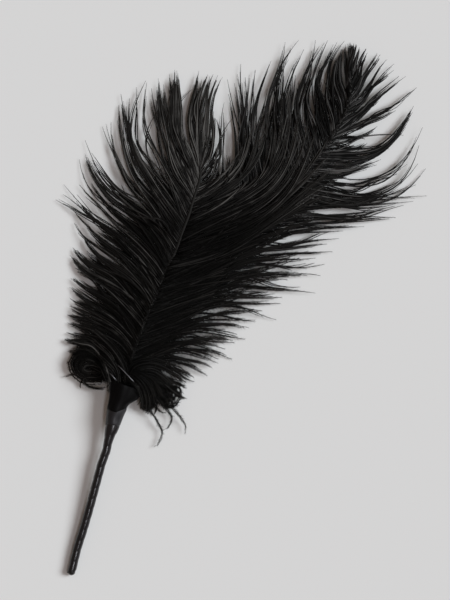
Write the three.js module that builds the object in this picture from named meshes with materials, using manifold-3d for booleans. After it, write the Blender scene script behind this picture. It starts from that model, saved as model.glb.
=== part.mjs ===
// A black ostrich feather pick, laid on a flat surface. A short ostrich feather lies over a long one. Their quills are
// bound side by side to a wire stem, which is wrapped in florist's tape down to its rounded end.
//
// Millimetres. +Z is up from the surface, +Y runs from the stem's end towards the tips, and +X is across.
// The origin is the middle of the object's outline, on the surface.

import * as THREE from "three";
import { mergeVertices } from "three/addons/utils/BufferGeometryUtils.js";
import Module from "manifold-3d";

const wasm = await Module();
wasm.setup();

// ---------------------------------------------------------------- driving dimensions

const GAP = 0.35; // clearance between neighbouring pieces

const STEM_RADIUS = 2.0; // over the tape
const CORE_RADIUS = 1.3; // wire inside the tape
const CORE_DROP = 1.0; // in the neck the wire lies this far under the middle, below the quills
const TAPE_FLARE = 1.35; // the tape's extra radius where it reaches the neck
const WRAP_THICKNESS = 0.5; // several layers of tape or ribbon
const BAND_HALF_WIDTH = [3.75, 5.05]; // bottom and top of the band, measured across
const BAND_HALF_HEIGHT = [3.55, 4.15];
const COLLAR_HALF_WIDTH = [5.2, 9.0]; // bottom and mouth of the collar
const COLLAR_HALF_HEIGHT = [4.2, 5.1];
const BINDING_RADIUS = 0.25; // fine wire round the roots of the barbs
const BINDING_TURNS = 2;
const BINDING_HALF_WIDTH = 9.2;
const BINDING_HALF_HEIGHT = 5.4;

const QUILL_RADIUS = 1.4;
const SHAFT_TIP_RADIUS = 0.35;
const QUILL_SPREAD = 2.1; // each quill lies this far to the side of the neck's middle
const QUILL_LIFT = 1.2; // and this far above it

// The stem's centreline, from its end on the surface up to the roots of the barbs: [x, y, z].
const STEM_PATH = [
  [-85.0, -132.9, 2.0],
  [-81.7, -119.5, 2.5],
  [-78.5, -109.5, 3.2],
  [-75.0, -97.5, 4.1],
  [-71.7, -85.5, 5.0],
  [-69.2, -76.5, 5.7],
  [-67.0, -70.5, 6.1],
  [-65.7, -64.5, 6.6],
  [-64.0, -58.5, 7.0],
  [-62.6, -52.5, 7.3],
  [-61.0, -47.0, 7.5],
  [-59.2, -41.5, 7.7],
  [-57.4, -36.0, 7.9],
  [-55.6, -30.5, 8.1],
];

// Where each wrapped piece starts and stops: y on that centreline.
const TAPE_TOP = -57.4;
const BAND_SPAN = [-57.0, -48.3];
const COLLAR_SPAN = [-47.9, -36.6];
const BINDING_SPAN = [-36.0, -32.4];
const CORE_TOP = -50.0;
const QUILL_END = -52.2;
const CLEAR_SPAN = [-62.0, -30.2]; // the vanes keep out of the wrapping between these

// Each shaft, from the neck to the tip: [x, y, z].
const FRONT_SHAFT = [
  [-59.0, -42.0, 9.2],
  [-55.5, -29.0, 10.4],
  [-51.5, -16.5, 11.4],
  [-46.0, -1.5, 12.0],
  [-42.0, 7.0, 12.2],
  [-37.5, 18.5, 12.3],
  [-32.5, 28.0, 12.2],
  [-29.0, 38.0, 12.0],
  [-26.0, 46.0, 11.6],
  [-23.5, 54.5, 11.0],
  [-20.5, 64.0, 10.0],
  [-20.5, 71.0, 9.0],
  [-22.0, 79.0, 7.5],
];
const BACK_SHAFT = [
  [-56.5, -42.5, 8.4],
  [-52.0, -27.0, 6.8],
  [-45.5, -8.0, 5.6],
  [-35.5, 10.5, 5.2],
  [-25.0, 25.0, 5.2],
  [-16.0, 35.0, 5.4],
  [-6.5, 46.0, 5.8],
  [10.5, 59.0, 7.0],
  [29.0, 68.5, 8.0],
  [38.5, 76.0, 8.2],
  [44.0, 83.5, 8.2],
  [48.5, 91.0, 8.0],
  [52.5, 99.5, 7.6],
  [54.0, 108.0, 7.0],
  [54.5, 121.0, 5.6],
];

// The outline of each vane, as guide barbs from the quill to the tip:
// [share of the shaft where it is rooted, angle at which it leaves the shaft, tip x, tip y, tip z, heading at its tip].
// Angles are in degrees. Headings turn anticlockwise from +X.
const FRONT_LEFT = [
  [0.07, 95, -77.5, -38.5, 1.6, 215],
  [0.1, 85, -84.0, -31.0, 1.6, 185],
  [0.15, 72, -87.5, -16.0, 1.6, 165],
  [0.21, 62, -86.0, -4.5, 1.6, 150],
  [0.29, 54, -84.5, 12.0, 1.8, 138],
  [0.37, 48, -83.0, 29.5, 1.8, 130],
  [0.44, 45, -83.0, 43.5, 2.0, 132],
  [0.5, 42, -90.5, 53.5, 2.0, 146],
  [0.56, 40, -80.0, 71.5, 2.4, 118],
  [0.61, 38, -77.0, 80.5, 2.6, 114],
  [0.67, 36, -67.0, 89.5, 3.0, 106],
  [0.73, 36, -60.0, 103.0, 3.4, 98],
  [0.79, 36, -53.0, 106.5, 3.6, 94],
  [0.85, 36, -43.5, 108.5, 3.8, 90],
  [0.91, 34, -37.5, 113.5, 4.0, 87],
  [0.97, 28, -31.5, 115.5, 4.0, 86],
];
const FRONT_RIGHT = [
  [0.07, 110, -40.5, -51.0, 2.4, 300],
  [0.11, 95, -27.5, -39.5, 2.4, 315],
  [0.17, 80, -13.5, -27.5, 2.4, 332],
  [0.23, 68, -1.5, -13.0, 2.6, 345],
  [0.31, 58, 10.5, 2.0, 2.8, 355],
  [0.39, 50, 21.0, 15.5, 3.2, 2],
  [0.47, 44, 28.0, 28.0, 4.0, 8],
  [0.55, 40, 30.0, 42.0, 5.4, 16],
  [0.63, 37, 28.0, 56.0, 8.6, 24],
  [0.71, 35, 20.0, 68.0, 9.4, 34],
  [0.79, 34, 8.5, 77.5, 8.6, 46],
  [0.85, 32, -3.0, 90.0, 6.6, 62],
  [0.91, 28, -8.5, 102.0, 5.4, 74],
  [0.96, 18, -13.0, 114.0, 5.0, 76],
  [0.99, -6, -23.0, 113.5, 4.6, 92],
];
const BACK_LEFT = [
  [0.06, 92, -72.0, -38.0, 1.4, 205],
  [0.12, 74, -79.0, -20.0, 1.4, 165],
  [0.2, 60, -78.0, 4.5, 1.4, 138],
  [0.28, 52, -70.0, 29.5, 1.6, 122],
  [0.35, 48, -53.0, 58.0, 1.8, 112],
  [0.42, 46, -29.0, 82.0, 2.2, 100],
  [0.47, 44, -7.0, 103.0, 2.8, 94],
  [0.53, 42, 0.5, 112.5, 3.2, 92],
  [0.59, 42, 13.5, 121.5, 3.6, 84],
  [0.65, 42, 20.5, 129.5, 3.8, 78],
  [0.71, 42, 31.0, 131.5, 4.0, 68],
  [0.78, 38, 40.5, 132.0, 4.2, 62],
  [0.85, 30, 48.0, 133.0, 4.2, 60],
  [0.93, 16, 53.5, 132.0, 4.2, 72],
  [0.98, -10, 59.5, 130.5, 4.2, 62],
];
const BACK_RIGHT = [
  [0.06, 105, -35.5, -50.5, 1.4, 300],
  [0.1, 90, -22.0, -33.0, 1.4, 322],
  [0.16, 76, -7.0, -25.0, 1.4, 336],
  [0.22, 66, 5.0, -10.5, 1.4, 348],
  [0.29, 58, 22.0, 7.0, 1.4, 354],
  [0.35, 52, 27.0, 17.5, 1.6, 358],
  [0.41, 47, 37.5, 25.5, 1.6, 2],
  [0.46, 43, 47.0, 34.5, 1.8, 6],
  [0.51, 40, 68.0, 44.0, 1.8, 4],
  [0.56, 36, 76.0, 51.5, 2.0, 10],
  [0.61, 34, 83.5, 60.5, 2.4, 26],
  [0.65, 34, 90.5, 68.0, 2.8, 48],
  [0.69, 36, 88.5, 78.0, 3.2, 66],
  [0.73, 38, 88.5, 87.0, 3.6, 66],
  [0.77, 40, 86.0, 97.5, 4.0, 60],
  [0.81, 42, 84.5, 108.0, 4.2, 42],
  [0.85, 44, 77.5, 114.5, 4.4, 42],
  [0.89, 44, 72.5, 121.5, 4.4, 44],
  [0.93, 40, 65.5, 126.5, 4.4, 50],
  [0.97, 28, 58.0, 130.0, 4.4, 60],
];

const GUIDE_STEPS = 8; // lengths of a guide barb
const GUIDE_BOW = 0.32; // how far a guide barb keeps its direction at each end, as a share of its length
const GUIDE_DROOP = 1.7; // barbs leave the shaft level and then sink: the power of their fall
const VANE_OVERLAP = 0.6; // the two vanes of a feather cross this far over the middle of the shaft

const AROUND = 24; // sides of a wide sleeve
const AROUND_STEM = 14; // sides of the tape
const AROUND_SHAFT = 8; // sides of a shaft, a wire or the binding

// ---------------------------------------------------------------- solids

function solidFrom(points, faces) {
  const geometry = new THREE.BufferGeometry();
  geometry.setAttribute("position", new THREE.Float32BufferAttribute(points.flat(), 3));
  geometry.setIndex(faces.flat());
  const merged = mergeVertices(geometry, 1e-4);
  return new wasm.Manifold(
    new wasm.Mesh({
      numProp: 3,
      vertProperties: merged.attributes.position.array,
      triVerts: new Uint32Array(merged.index.array),
    }),
  );
}

// A solid with its faces pointing out, whichever way its faces were listed.
function closedSolid(points, faces) {
  const solid = solidFrom(points, faces);
  const flipped = faces.map(([a, b, c]) => [a, c, b]);
  return solid.volume() > 0 ? solid : solidFrom(points, flipped);
}

function geometryOf(solid) {
  const mesh = solid.getMesh();
  const geometry = new THREE.BufferGeometry();
  geometry.setAttribute("position", new THREE.BufferAttribute(mesh.vertProperties, 3));
  geometry.setIndex(new THREE.BufferAttribute(mesh.triVerts, 1));
  geometry.computeVertexNormals();
  return geometry;
}

// The largest body of a solid, without the crumbs that a cut leaves beside it.
function largestBody(solid) {
  return solid.decompose().reduce((a, b) => (a.volume() > b.volume() ? a : b));
}

// A solid skinned over rings of points. A loop joins the last ring to the first, as round the wall of a sleeve;
// otherwise both ends are capped.
function skin(rings, loop = false) {
  const sides = rings[0].length;
  const faces = [];
  const spans = loop ? rings.length : rings.length - 1;
  for (let r = 0; r < spans; r++) {
    const here = r * sides;
    const next = ((r + 1) % rings.length) * sides;
    for (let i = 0; i < sides; i++) {
      const j = (i + 1) % sides;
      faces.push([here + i, here + j, next + j], [here + i, next + j, next + i]);
    }
  }
  if (!loop) {
    const last = (rings.length - 1) * sides;
    for (let i = 1; i < sides - 1; i++) {
      faces.push([0, i + 1, i], [last, last + i, last + i + 1]);
    }
  }
  return closedSolid(rings.flat(), faces);
}

// ---------------------------------------------------------------- curves

const UP = new THREE.Vector3(0, 0, 1);
const mix = THREE.MathUtils.lerp;
const ease = THREE.MathUtils.smoothstep;
const radians = THREE.MathUtils.degToRad;

const curveThrough = (points) =>
  new THREE.CatmullRomCurve3(points.map((p) => new THREE.Vector3(...p)), false, "centripetal");

// A point of a curve, with the directions across it: level, and upright.
function frameOn(curve, share) {
  const at = curve.getPointAt(share);
  const along = curve.getTangentAt(share);
  const across = new THREE.Vector3().crossVectors(along, UP).normalize();
  const up = new THREE.Vector3().crossVectors(across, along);
  return { at, across, up };
}

// A point beside a frame's middle.
const offset = (frame, across, up) =>
  frame.at.clone().addScaledVector(frame.across, across).addScaledVector(frame.up, up);

// An oval ring of points round a frame.
function ring(frame, halfWidth, halfHeight, sides) {
  return Array.from({ length: sides }, (_, i) => {
    const angle = (2 * Math.PI * i) / sides;
    return offset(frame, halfWidth * Math.cos(angle), halfHeight * Math.sin(angle)).toArray();
  });
}

const stemCurve = curveThrough(STEM_PATH);

// The share of the stem's centreline at which it reaches a given y. It rises in y all the way.
function stemShare(y) {
  let low = 0;
  let high = 1;
  for (let i = 0; i < 30; i++) {
    const middle = (low + high) / 2;
    if (stemCurve.getPointAt(middle).y < y) low = middle;
    else high = middle;
  }
  return low;
}

// Evenly spaced frames on the stem's centreline, each with its share t of the span.
function stemFrames([fromY, toY], steps) {
  const from = stemShare(fromY);
  const to = stemShare(toY);
  return Array.from({ length: steps + 1 }, (_, i) => ({
    t: i / steps,
    frame: frameOn(stemCurve, mix(from, to, i / steps)),
  }));
}

// A round bar along a curve.
function bar(curve, radius, steps) {
  const section = new THREE.Shape();
  section.setFromPoints(
    Array.from({ length: AROUND_SHAFT }, (_, i) => {
      const angle = (2 * Math.PI * i) / AROUND_SHAFT;
      return new THREE.Vector2(radius * Math.cos(angle), radius * Math.sin(angle));
    }),
  );
  return new THREE.ExtrudeGeometry(section, { steps, extrudePath: curve });
}

// ---------------------------------------------------------------- stem and its wrapping

const CORE_BOTTOM = -131.4; // leaves the tape's rounded end closed

function stemWire() {
  const points = stemFrames([CORE_BOTTOM, CORE_TOP], 12).map(({ frame }) =>
    offset(frame, 0, -CORE_DROP * ease(frame.at.y, -66, -57)).toArray(),
  );
  return bar(curveThrough(points), CORE_RADIUS, 20);
}

// The wound tape: a rounded, closed end, an even sleeve over the stem, and a flare up to the neck.
function stemTape() {
  const endSteps = 4;
  const bore = CORE_RADIUS + GAP;
  const length = stemCurve.getLength();
  const outside = [];
  for (let i = 0; i < endSteps; i++) {
    const angle = (Math.PI / 2) * ((i + 0.3) / endSteps);
    const share = (STEM_RADIUS * (1 - Math.cos(angle))) / length;
    const radius = STEM_RADIUS * Math.sin(angle);
    outside.push(ring(frameOn(stemCurve, share), radius, radius, AROUND_STEM));
  }
  const inside = [ring(stemFrames([CORE_BOTTOM - GAP, TAPE_TOP], 1)[0].frame, bore, bore, AROUND_STEM)];
  const sleeveBottom = stemCurve.getPointAt(STEM_RADIUS / length).y;
  for (const { frame } of stemFrames([sleeveBottom, TAPE_TOP], 26)) {
    const radius = STEM_RADIUS + TAPE_FLARE * ease(frame.at.y, -68, -56.5) ** 1.4;
    const hollow = Math.max(bore, radius - WRAP_THICKNESS);
    outside.push(ring(frame, radius, radius, AROUND_STEM));
    inside.push(ring(frame, hollow, hollow, AROUND_STEM));
  }
  return skin([...outside, ...inside.reverse()]);
}

// A flared sleeve of tape or ribbon round the neck.
function neckSleeve(span, halfWidth, halfHeight, steps) {
  const outside = [];
  const inside = [];
  for (const { t, frame } of stemFrames(span, steps)) {
    const wide = mix(...halfWidth, t);
    const high = mix(...halfHeight, t);
    outside.push(ring(frame, wide, high, AROUND));
    inside.push(ring(frame, wide - WRAP_THICKNESS, high - WRAP_THICKNESS, AROUND));
  }
  return skin([...outside, ...inside.reverse()], true);
}

function bindingWire() {
  const points = stemFrames(BINDING_SPAN, 12 * BINDING_TURNS).map(({ t, frame }) => {
    const angle = 2 * Math.PI * BINDING_TURNS * t;
    return offset(frame, BINDING_HALF_WIDTH * Math.cos(angle), BINDING_HALF_HEIGHT * Math.sin(angle)).toArray();
  });
  return bar(curveThrough(points), BINDING_RADIUS, 24 * BINDING_TURNS);
}

// The room that the neck's wrapping takes, with clearance.
function wrappingRoom() {
  return skin(
    stemFrames(CLEAR_SPAN, 8).map(({ frame }) => {
      const open = ease(frame.at.y, -50, -38);
      const wide = BAND_HALF_WIDTH[1] + 0.5 + open * (COLLAR_HALF_WIDTH[1] - BAND_HALF_WIDTH[1] + 0.8);
      const high = BAND_HALF_HEIGHT[1] + 0.5 + open * (COLLAR_HALF_HEIGHT[1] - BAND_HALF_HEIGHT[1] + 0.9);
      return ring(frame, wide, high, AROUND);
    }),
  );
}

// ---------------------------------------------------------------- feathers

// A guide barb as points. side is 1 on the shaft's left and -1 on its right.
function guidePoints(shaft, [share, leave, tipX, tipY, tipZ, heading], side) {
  const root = shaft.getPointAt(share);
  const along = shaft.getTangentAt(share);
  const shaftHeading = Math.atan2(along.y, along.x);
  root.x += side * VANE_OVERLAP * Math.sin(shaftHeading);
  root.y -= side * VANE_OVERLAP * Math.cos(shaftHeading);
  const towards = (at, angle, reach) =>
    new THREE.Vector2(at.x + reach * Math.cos(angle), at.y + reach * Math.sin(angle));
  const start = new THREE.Vector2(root.x, root.y);
  const end = new THREE.Vector2(tipX, tipY);
  const reach = GUIDE_BOW * start.distanceTo(end);
  const line = new THREE.CubicBezierCurve(
    start,
    towards(start, shaftHeading + side * radians(leave), reach),
    towards(end, radians(heading), -reach),
    end,
  );
  return line.getPoints(GUIDE_STEPS).map((p, j) => {
    const fall = (j / GUIDE_STEPS) ** GUIDE_DROOP;
    return [p.x, p.y, mix(root.z, tipZ, fall)];
  });
}

// A vane as one soft pad. Its top follows the guide barbs, and its underside lies on the surface.
function vane(shaft, guides, side, lift) {
  const rows = guides.map((guide) => guidePoints(shaft, guide, side));
  const columns = GUIDE_STEPS + 1;
  const top = rows.flat().map(([x, y, z]) => [x, y, z + lift]);
  const underside = rows.flat().map(([x, y]) => [x, y, 0]);
  const under = top.length;
  const faces = [];
  const quad = (a, b, c, d) => faces.push([a, b, c], [a, c, d]);
  const rim = []; // once round the edge of the pad
  for (let c = 0; c < columns; c++) rim.push(c);
  for (let r = 1; r < rows.length; r++) rim.push(r * columns + columns - 1);
  for (let c = columns - 2; c >= 0; c--) rim.push((rows.length - 1) * columns + c);
  for (let r = rows.length - 2; r >= 1; r--) rim.push(r * columns);
  for (let r = 0; r < rows.length - 1; r++) {
    for (let c = 0; c < columns - 1; c++) {
      const a = r * columns + c;
      const b = a + columns;
      quad(a, a + 1, b + 1, b);
      quad(under + a, under + b, under + b + 1, under + a + 1);
    }
  }
  rim.forEach((a, i) => {
    const b = rim[(i + 1) % rim.length];
    quad(a, under + a, under + b, b);
  });
  return closedSolid([...top, ...underside], faces);
}

// The shaft: a round quill, held in the neck, that thins to a hair at the tip.
function shaftSolid(points, quillSide, extra) {
  const neck = frameOn(stemCurve, stemShare(QUILL_END));
  const quillEnd = offset(neck, QUILL_SPREAD * quillSide, QUILL_LIFT).toArray();
  const curve = curveThrough([quillEnd, ...points]);
  const steps = 28;
  return skin(
    Array.from({ length: steps + 1 }, (_, i) => {
      const radius = extra + mix(QUILL_RADIUS, SHAFT_TIP_RADIUS, (i / steps) ** 0.7);
      return ring(frameOn(curve, i / steps), radius, radius, AROUND_SHAFT);
    }),
  );
}

// The vanes and the shaft of a feather, made larger by extra all round.
function featherPieces(points, left, right, quillSide, extra = 0) {
  const shaft = curveThrough(points);
  return {
    vanes: vane(shaft, left, 1, extra).add(vane(shaft, right, -1, extra)),
    shaft: shaftSolid(points, quillSide, extra),
  };
}

const room = wrappingRoom();

function backFeather() {
  const { vanes, shaft } = featherPieces(BACK_SHAFT, BACK_LEFT, BACK_RIGHT, 1);
  return largestBody(vanes.subtract(room).add(shaft));
}

// The back feather with its clearance, which the front feather's underside is cut to.
function backFeatherRoom() {
  const { vanes, shaft } = featherPieces(BACK_SHAFT, BACK_LEFT, BACK_RIGHT, 1, GAP);
  const nudged = (x, y, z) => vanes.translate([x, y, z]);
  return nudged(0, 0, -GAP)
    .add(nudged(GAP, GAP, 0))
    .add(nudged(GAP, -GAP, 0))
    .add(nudged(-GAP, GAP, 0))
    .add(nudged(-GAP, -GAP, 0))
    .add(shaft);
}

function frontFeather() {
  const { vanes, shaft } = featherPieces(FRONT_SHAFT, FRONT_LEFT, FRONT_RIGHT, -1);
  return largestBody(vanes.subtract(room).add(shaft).subtract(backFeatherRoom()));
}

// ---------------------------------------------------------------- the part

const BARBS = { color: 0x141312, roughness: 0.75, metalness: 0 };
const TAPE = { color: 0x1b1c22, roughness: 0.45, metalness: 0 };
const RIBBON = { color: 0x111113, roughness: 0.35, metalness: 0 };
const FINE_WIRE = { color: 0x8a8a90, roughness: 0.35, metalness: 1 };
const STEEL = { color: 0x55575c, roughness: 0.5, metalness: 1 };

const part = new THREE.Group();

function addPiece(name, geometry, finish) {
  const mesh = new THREE.Mesh(geometry, new THREE.MeshStandardMaterial(finish));
  mesh.name = name;
  part.add(mesh);
}

addPiece("front_feather", geometryOf(frontFeather()), BARBS);
addPiece("back_feather", geometryOf(backFeather()), BARBS);
addPiece("stem_wire", stemWire(), STEEL);
addPiece("stem_tape", geometryOf(stemTape()), TAPE);
addPiece("neck_band", geometryOf(neckSleeve(BAND_SPAN, BAND_HALF_WIDTH, BAND_HALF_HEIGHT, 3)), TAPE);
addPiece("collar_ribbon", geometryOf(neckSleeve(COLLAR_SPAN, COLLAR_HALF_WIDTH, COLLAR_HALF_HEIGHT, 4)), RIBBON);
addPiece("binding_wire", bindingWire(), FINE_WIRE);

export default part;
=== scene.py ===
import math

import bpy
import numpy as np
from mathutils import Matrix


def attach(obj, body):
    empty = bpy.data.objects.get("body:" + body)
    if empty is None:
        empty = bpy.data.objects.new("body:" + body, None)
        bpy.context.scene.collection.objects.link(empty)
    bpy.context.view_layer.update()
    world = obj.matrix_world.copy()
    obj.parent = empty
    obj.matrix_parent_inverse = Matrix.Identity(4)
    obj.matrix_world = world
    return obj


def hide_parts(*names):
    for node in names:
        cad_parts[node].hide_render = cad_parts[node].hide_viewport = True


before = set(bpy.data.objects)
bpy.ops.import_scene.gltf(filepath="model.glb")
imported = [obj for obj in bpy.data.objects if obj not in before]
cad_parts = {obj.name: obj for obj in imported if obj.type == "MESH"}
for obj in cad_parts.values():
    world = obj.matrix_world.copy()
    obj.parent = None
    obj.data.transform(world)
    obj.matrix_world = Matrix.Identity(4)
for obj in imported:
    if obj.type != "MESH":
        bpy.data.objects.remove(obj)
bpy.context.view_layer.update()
bpy.ops.object.select_all(action="DESELECT")

# An ostrich feather pick laid on a flat surface: a short feather over a long one, bound to a taped wire stem.
# Lines and tables are in millimetres, meshes in metres.
# X is across, Y runs from the stem's end to the tips and Z is up.

MM = 0.001
UP = np.array([0.0, 0.0, 1.0])
BODY = "root"


# ---------------------------------------------------------------- camera, floor and light

CAMERA_AT = (-8.0, 4.5, 900.0)
SEEN_HEIGHT = 300.0  # what the picture's long side covers at the floor
SENSOR = 36.0
ROOM_COLOUR = (1.0, 0.8, 0.68, 1.0)
ROOM_STRENGTH = 0.18
FLOOR_SIZE = 4  # metres


def set_camera():
    data = bpy.data.cameras.new("camera")
    data.sensor_width = SENSOR
    data.lens = SENSOR * CAMERA_AT[2] / SEEN_HEIGHT
    camera = bpy.data.objects.new("camera", data)
    camera.location = [v * MM for v in CAMERA_AT]
    bpy.context.scene.collection.objects.link(camera)
    bpy.context.scene.camera = camera


def add_sun(name, energy, colour, width, height, azimuth):
    """A far light. Its apparent width, its height above the floor and its azimuth from +X are in degrees."""
    data = bpy.data.lights.new(name, "SUN")
    data.energy = energy
    data.color = colour
    data.angle = math.radians(width)
    lamp = bpy.data.objects.new(name, data)
    lamp.rotation_euler = (0, math.radians(90 - height), math.radians(azimuth))
    bpy.context.scene.collection.objects.link(lamp)


def set_light():
    """A wide window low on the right, a weak light nearly overhead and a warm, dim room."""
    world = bpy.data.worlds.new("room")
    world.use_nodes = True
    world.node_tree.nodes["Background"].inputs["Color"].default_value = ROOM_COLOUR
    world.node_tree.nodes["Background"].inputs["Strength"].default_value = ROOM_STRENGTH
    bpy.context.scene.world = world
    add_sun("window", energy=2.86, colour=(0.95, 1.005, 1.04), width=27, height=38.5, azimuth=14)
    add_sun("ceiling", energy=0.42, colour=(0.98, 0.98, 1.04), width=9, height=73, azimuth=-33)
    bpy.context.scene.view_settings.view_transform = "Standard"


def make_floor(material):
    bpy.ops.mesh.primitive_plane_add(size=FLOOR_SIZE, location=(0, 0, 0))
    floor = bpy.context.object
    floor.name = "floor"
    floor.data.materials.append(material)


# ---------------------------------------------------------------- lines


LINE_STEPS = 24  # between two given points
NEARBY = 0.01  # as a share of a line


class Line:
    """A smooth line through a few points. A share of 0 is its start and 1 its end."""

    def __init__(self, points):
        given = np.array(points, float)
        ends = np.vstack([2 * given[0] - given[1], given, 2 * given[-1] - given[-2]])
        u = np.linspace(0, 1, LINE_STEPS, endpoint=False)[:, None]
        parts = []
        for a, b, c, d in zip(ends, ends[1:], ends[2:], ends[3:]):
            bend = (2 * a - 5 * b + 4 * c - d) * u**2 + (3 * b - a - 3 * c + d) * u**3
            parts.append(0.5 * (2 * b + (c - a) * u + bend))
        self.points = np.vstack([*parts, given[-1:]])
        steps = np.linalg.norm(np.diff(self.points, axis=0), axis=1)
        along = np.concatenate([[0], np.cumsum(steps)])
        self.length = along[-1]
        self.shares = along / self.length

    def at(self, share):
        columns = [np.interp(share, self.shares, self.points[:, k]) for k in range(3)]
        return np.stack(columns, axis=-1)

    def heading(self, share):
        """The line's direction in the XY plane, in radians."""
        step = self.at(np.clip(share + NEARBY, 0, 1)) - self.at(np.clip(share - NEARBY, 0, 1))
        return np.arctan2(step[..., 1], step[..., 0])

    def share_at_y(self, y):
        return float(np.interp(y, self.points[:, 1], self.shares))


STEM = Line([
    (-85.0, -132.9, 2.0),
    (-81.7, -119.5, 2.5),
    (-78.5, -109.5, 3.2),
    (-75.0, -97.5, 4.1),
    (-71.7, -85.5, 5.0),
    (-69.2, -76.5, 5.7),
    (-67.0, -70.5, 6.1),
    (-65.7, -64.5, 6.6),
    (-64.0, -58.5, 7.0),
    (-62.6, -52.5, 7.3),
    (-61.0, -47.0, 7.5),
    (-59.2, -41.5, 7.7),
    (-57.4, -36.0, 7.9),
    (-55.6, -30.5, 8.1),
])

FRONT_SHAFT = Line([
    (-59.0, -42.0, 9.2),
    (-55.5, -29.0, 10.4),
    (-51.5, -16.5, 11.4),
    (-46.0, -1.5, 12.0),
    (-42.0, 7.0, 12.2),
    (-37.5, 18.5, 12.3),
    (-32.5, 28.0, 12.2),
    (-29.0, 38.0, 12.0),
    (-26.0, 46.0, 11.2),
    (-23.5, 54.5, 10.0),
    (-20.5, 64.0, 8.0),
    (-20.5, 71.0, 6.2),
    (-22.0, 79.0, 4.4),
])

BACK_SHAFT = Line([
    (-56.5, -42.5, 8.4),
    (-52.0, -27.0, 6.8),
    (-45.5, -8.0, 5.6),
    (-35.5, 10.5, 5.2),
    (-25.0, 25.0, 5.2),
    (-16.0, 35.0, 5.4),
    (-6.5, 46.0, 5.8),
    (10.5, 59.0, 7.0),
    (29.0, 68.5, 8.0),
    (38.5, 76.0, 8.2),
    (44.0, 83.5, 8.2),
    (48.5, 91.0, 8.0),
    (52.5, 99.5, 7.6),
    (54.0, 108.0, 7.0),
    (54.5, 121.0, 5.6),
])


# ---------------------------------------------------------------- locks of barbs

# The barbs of a vane hang together in locks. Each lock is:
# (share of the shaft at its middle, angle at which it leaves the shaft, tip x, tip y, tip z,
#  heading at the tip, barbs in it, half its width near the tip).
# Angles are in degrees; headings turn anticlockwise from +X.

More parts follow.
